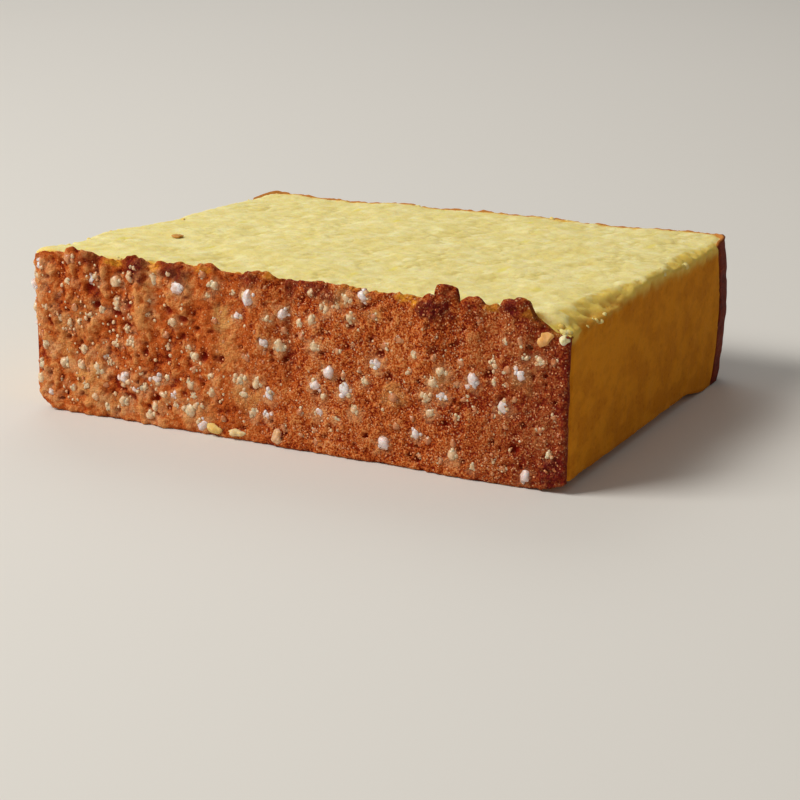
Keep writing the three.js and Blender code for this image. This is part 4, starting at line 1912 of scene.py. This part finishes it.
    def fine(self, grains: list[Grain], rng: np.random.Generator) -> bpy.types.Object:
        """The finer grains between the coarse ones.

        Args:
            grains: The grains of the frame's solid.
            rng: Source of the draws.

        Returns:
            The piece.
        """
        total = len(grains) + self.fine_count
        everything = self.form.scatter(grains, total, self.fine_widths, self.fine_seed, self.fine_gap)
        heap, small = Bits(), ball(2)
        for grain in everything[len(grains):]:
            self.lay(heap, small, grain, self.kind_of(grain, rng.uniform()), rng)
        return heap.piece("sugar_fine", self.form, "sugar_grain", SUGAR)

    def dust(self, rng: np.random.Generator) -> bpy.types.Object:
        """Sugar dust: tiny crystals all over the crust, thickest from the middle to the right.

        Args:
            rng: Source of the draws.

        Returns:
            The piece.
        """
        form, half = self.form, self.form.half_length
        grids = np.meshgrid(
            np.arange(-half + self.dust_along[0], half + self.dust_along[1], self.dust_step),
            np.arange(self.dust_up[0], form.thick_front + self.dust_up[1], self.dust_step),
        )
        x, z = (grid.ravel() + rng.uniform(-0.5, 0.5, grid.size) * self.dust_step for grid in grids)
        least, more = self.dust_share
        density = least + more * self.dust_thicker.of(x) + self.dust_patches.of(x, z)
        above = z > form.base_height(x, -form.half_depth) + self.dust_over_base
        below = z < form.lip_height(x) - self.dust_under_lip
        kept = (rng.uniform(size=x.size) < density) & above & below
        x, z = x[kept], z[kept]
        width = rng.uniform(*self.dust_widths, x.size) * rng.uniform(*self.dust_smaller, x.size)
        middles = self.seat(x, z, self.dust_sunk * width)[0]
        heap, shape, kind = Bits(), ball(1), SugarKind.DUST
        for middle, size in zip(middles, width):
            uneven = rng.uniform(*self.dust_uneven, (len(shape[0]), 1))
            points = shape[0] * uneven @ turned(rng, math.pi).T
            heap.add(points * size + middle, shape[1], blend(kind.rim, kind.core, rng.uniform()))
        return heap.piece("sugar_dust", form, "sugar_grain", SUGAR_DUST)


@dataclass(frozen=True)
class Flake:
    """A crumb or flake that clings to the crust: its place, three widths, turn and colour."""

    x: float
    z: float
    size: Size
    turn: float
    tint: Colour


@dataclass(frozen=True)
class Strewn:
    """Loose crumbs along an edge: how many, over which stretch, and how far in they lie on average."""

    count: int
    stretch: Place
    mean: float

    def along(self, rng: np.random.Generator) -> Array:
        """Draws their places along the edge."""
        return rng.uniform(*self.stretch, self.count)

    def inwards(self, rng: np.random.Generator) -> Array:
        """Draws how far in from the edge they lie."""
        return rng.exponential(self.mean, self.count)


@dataclass
class Crumbs:
    """Flakes that cling to the crust, and loose crumbs along the slice's edges, in millimetres."""

    form: SliceForm
    flakes: tuple[Flake, ...] = (
        Flake(-13.2, 0.9, (3.2, 1.5, 1.7), 0.2, (230, 196, 122)),
        Flake(-9.3, 0.8, (2.9, 1.3, 1.2), -0.1, (232, 208, 162)),
        Flake(-1.6, 1.3, (2.0, 1.6, 2.6), 0.3, (222, 178, 140)),
        Flake(43.9, 23.9, (2.6, 1.2, 2.0), -0.5, (234, 178, 112)),
        Flake(46.9, 24.0, (1.6, 1.6, 1.5), 0.4, (240, 232, 190)),
    )
    proud: float = 0.5
    ragged: tuple[Lumps, ...] = (Lumps((0.9, 0.9, 0.9), 0.3, 121), Lumps((0.45, 0.45, 0.45), 0.16, 122))
    brown_flake: Place = (-33.8, -14.7)
    brown_size: Size = (2.2, 2.0, 0.6)
    brown_raised: Size = (0.0, 0.0, 0.2)
    flat: float = 0.33
    brown_tint: Colour = (196, 142, 76)
    pale_tint: Colour = (242, 226, 156)
    deep_tint: Colour = (228, 194, 108)
    left: Strewn = Strewn(16, (-34.0, 30.0), 0.9)
    back: Strewn = Strewn(10, (-42.0, 43.0), 0.5)
    back_inset: float = 0.8
    right: Strewn = Strewn(14, (-35.5, 31.0), 0.6)
    lip: Strewn = Strewn(64, (-45.0, 47.0), 0.5)
    lip_inset: float = 1.5
    facets: int = 6
    loose_flat: float = 0.2
    widths: Place = (0.6, 1.7)
    shares: Place = (0.7, 1.4)
    sunk: float = 0.34
    flake_seed: int = 61
    loose_seed: int = 88

    def roughened(self, points: Array, middle: Array) -> Array:
        """Roughens a crumb and puts it in its place.

        Args:
            points: Points of the crumb round its own middle.
            middle: Its place.

        Returns:
            The points.
        """
        return points * (1.0 + layered(self.ragged, points + middle))[:, None] + middle

    def flake_piece(self) -> bpy.types.Object:
        """Makes the flakes.

        Returns:
            The piece.
        """
        heap, shape = Bits(), ball(4)
        rng = np.random.default_rng(self.flake_seed)
        for flake in self.flakes:
            place, outward = self.form.on_crust(flake.x, flake.z)
            points = crystal(shape[0], rng, self.facets, self.flat) * np.array(flake.size)
            points = points @ np.array(Matrix.Rotation(flake.turn, 3, "Y")).T
            middle = place[0] + outward[0] * flake.size[1] * (self.proud - 0.5)
            heap.add(self.roughened(points, middle), shape[1], np.array(srgb(*flake.tint)))
        middle = self.form.on_slice(*self.brown_flake, 1.0, crumb_only=True)[0] + self.brown_raised
        points = crystal(shape[0], rng, self.facets, self.flat) * self.brown_size
        heap.add(self.roughened(points, middle), shape[1], np.array(srgb(*self.brown_tint)))
        return heap.piece("flakes", self.form, "sponge_crumb", LOOSE_CRUMB)

    def loose_piece(self) -> bpy.types.Object:
        """Makes the loose crumbs along the edges of the upper cut face.

        Returns:
            The piece.
        """
        form, rng = self.form, np.random.default_rng(self.loose_seed)
        length, depth = form.half_length, form.half_depth
        left = (self.left.inwards(rng) - length, self.left.along(rng))
        back = (self.back.along(rng), depth - self.back_inset - self.back.inwards(rng))
        right = (length - self.right.inwards(rng), self.right.along(rng))
        lip = (self.lip.along(rng), self.lip_inset - depth + self.lip.inwards(rng))
        x0, y0 = (np.concatenate(parts) for parts in zip(left, back, right, lip))
        heap, shape = Bits(), ball(2)
        pale, deep = np.array(srgb(*self.pale_tint)), np.array(srgb(*self.deep_tint))
        for middle in form.on_slice(x0, y0, 1.0, crumb_only=True):
            width = blend(*self.widths, rng.uniform() ** 2)
            points = crystal(shape[0], rng, self.facets, self.loose_flat) * width
            points = points * rng.uniform(*self.shares, 3) @ turned(rng, math.pi).T
            points = self.roughened(points, middle) - (0.0, 0.0, self.sunk * width)
            heap.add(points, shape[1], blend(pale, deep, rng.uniform()))
        return heap.piece("loose_crumbs", form, "sponge_crumb", LOOSE_CRUMB)


# ---- Studio ----
@dataclass(frozen=True)
class Viewpoint:
    """Where the camera stands in millimetres, how it is turned in degrees, and its lens."""

    place: Size = (169.38, -339.60, 112.41)
    yaw: float = 26.3
    pitch: float = 16.77
    roll: float = 0.78
    lens: float = 102.735

    def set_up(self) -> bpy.types.Object:
        """Makes the camera the scene's own.

        Returns:
            The camera.
        """
        yaw, pitch, roll = (math.radians(angle) for angle in (self.yaw, self.pitch, self.roll))
        level = Vector((math.cos(yaw), math.sin(yaw), 0.0))
        ahead = Vector((-math.sin(yaw), math.cos(yaw), 0.0))
        forward = math.cos(pitch) * ahead - math.sin(pitch) * Vector((0.0, 0.0, 1.0))
        upright = level.cross(forward)
        right = math.cos(roll) * level + math.sin(roll) * upright
        up = math.cos(roll) * upright - math.sin(roll) * level
        camera = bpy.data.objects.new("camera", bpy.data.cameras.new("camera"))
        camera.data.lens = self.lens
        camera.data.clip_start = 0.01
        axes = Matrix((right, up, -forward)).transposed().to_4x4()
        camera.matrix_world = Matrix.Translation(Vector(self.place) * MM) @ axes
        bpy.context.scene.collection.objects.link(camera)
        bpy.context.scene.camera = camera
        return camera


@dataclass(frozen=True)
class Softbox:
    """A soft lamp: its direction from the slice, distance and width in metres, power and colour."""

    name: str
    towards: Size
    distance: float
    width: float
    power: float
    colour: Colour = (1.0, 1.0, 1.0)

    def hang(self) -> None:
        """Hangs the lamp, facing the slice."""
        lamp = bpy.data.lights.new(self.name, "AREA")
        lamp.size = self.width
        lamp.energy = self.power
        lamp.color = self.colour
        holder = bpy.data.objects.new(self.name, lamp)
        away = Vector(self.towards).normalized()
        facing = away.to_track_quat("Z", "Y").to_matrix().to_4x4()
        holder.matrix_world = Matrix.Translation(away * self.distance) @ facing
        bpy.context.scene.collection.objects.link(holder)


@dataclass(frozen=True)
class Studio:
    """Pale floor, soft lamps and the room's even light."""

    floor_half: float = 4.0
    floor_colour: Colour = (226, 222, 215)
    floor_other: Colour = (223, 219, 212)
    room_colour: Colour = (239, 236, 231)
    room_strength: float = 0.27
    lamps: tuple[Softbox, ...] = (
        Softbox("key lamp", (-0.52, -0.5, 0.72), 0.95, 0.44, 7.6, (1.0, 0.985, 0.95)),
        Softbox("back lamp", (-0.5, 0.7, 0.75), 0.9, 0.5, 1.4),
    )

    def floor(self) -> bpy.types.Object:
        """Lays the floor.

        Returns:
            The floor.
        """
        mesh = bpy.data.meshes.new("floor")
        reach = self.floor_half
        corners = [(-reach, -reach, 0), (reach, -reach, 0), (reach, reach, 0), (-reach, reach, 0)]
        mesh.from_pydata(corners, [], [(0, 1, 2, 3)])
        floor = bpy.data.objects.new("floor", mesh)
        material, wiring = new_material("floor")
        tone = wiring.mix(wiring.noise(3.0), srgb(*self.floor_colour), srgb(*self.floor_other))
        Surface(tone, 0.9, shine=0.1).close("floor", wiring)
        mesh.materials.append(material)
        bpy.context.scene.collection.objects.link(floor)
        return floor

    def light(self) -> None:
        """Hangs the lamps and sets the room's light."""
        for lamp in self.lamps:
            lamp.hang()
        world = bpy.data.worlds.new("room")
        world.use_nodes = True
        back = world.node_tree.nodes["Background"]
        back.inputs["Color"].default_value = srgb(*self.room_colour)
        back.inputs["Strength"].default_value = self.room_strength
        bpy.context.scene.world = world


def main() -> None:
    """Builds the slice piece by piece, then the studio round it."""
    logging.basicConfig(level=logging.INFO, format="%(name)s: %(message)s")
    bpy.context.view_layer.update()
    form = SliceForm()
    sponge, sandy = sponge_effect(), sandy_effect()
    grains = form.grain_places()

    crumb = CrumbBlock(form).build(sponge)
    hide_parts(NODE)
    report(crumb)

    rng = np.random.default_rng(SUGAR_SEED)
    sugared = SugaredCrust(form)
    sugar = SugarGrains(form, sugared)
    chosen = sugar.choose(grains, rng)
    pale = [grain for grain, kind in chosen.items() if kind is not SugarKind.AMBER]
    report(sugared.build(pale, sandy))
    report(DarkCrust(form).build(sandy))
    report(sugar.coarse(chosen, rng))
    report(sugar.fine(grains, rng))
    report(sugar.dust(rng))

    crumbs = Crumbs(form)
    report(crumbs.flake_piece())
    report(crumbs.loose_piece())

    studio = Studio()
    studio.floor()
    studio.light()
    Viewpoint().set_up()
    bpy.context.scene.view_settings.view_transform = "Standard"

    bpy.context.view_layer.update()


if __name__ == "__main__":
    main()
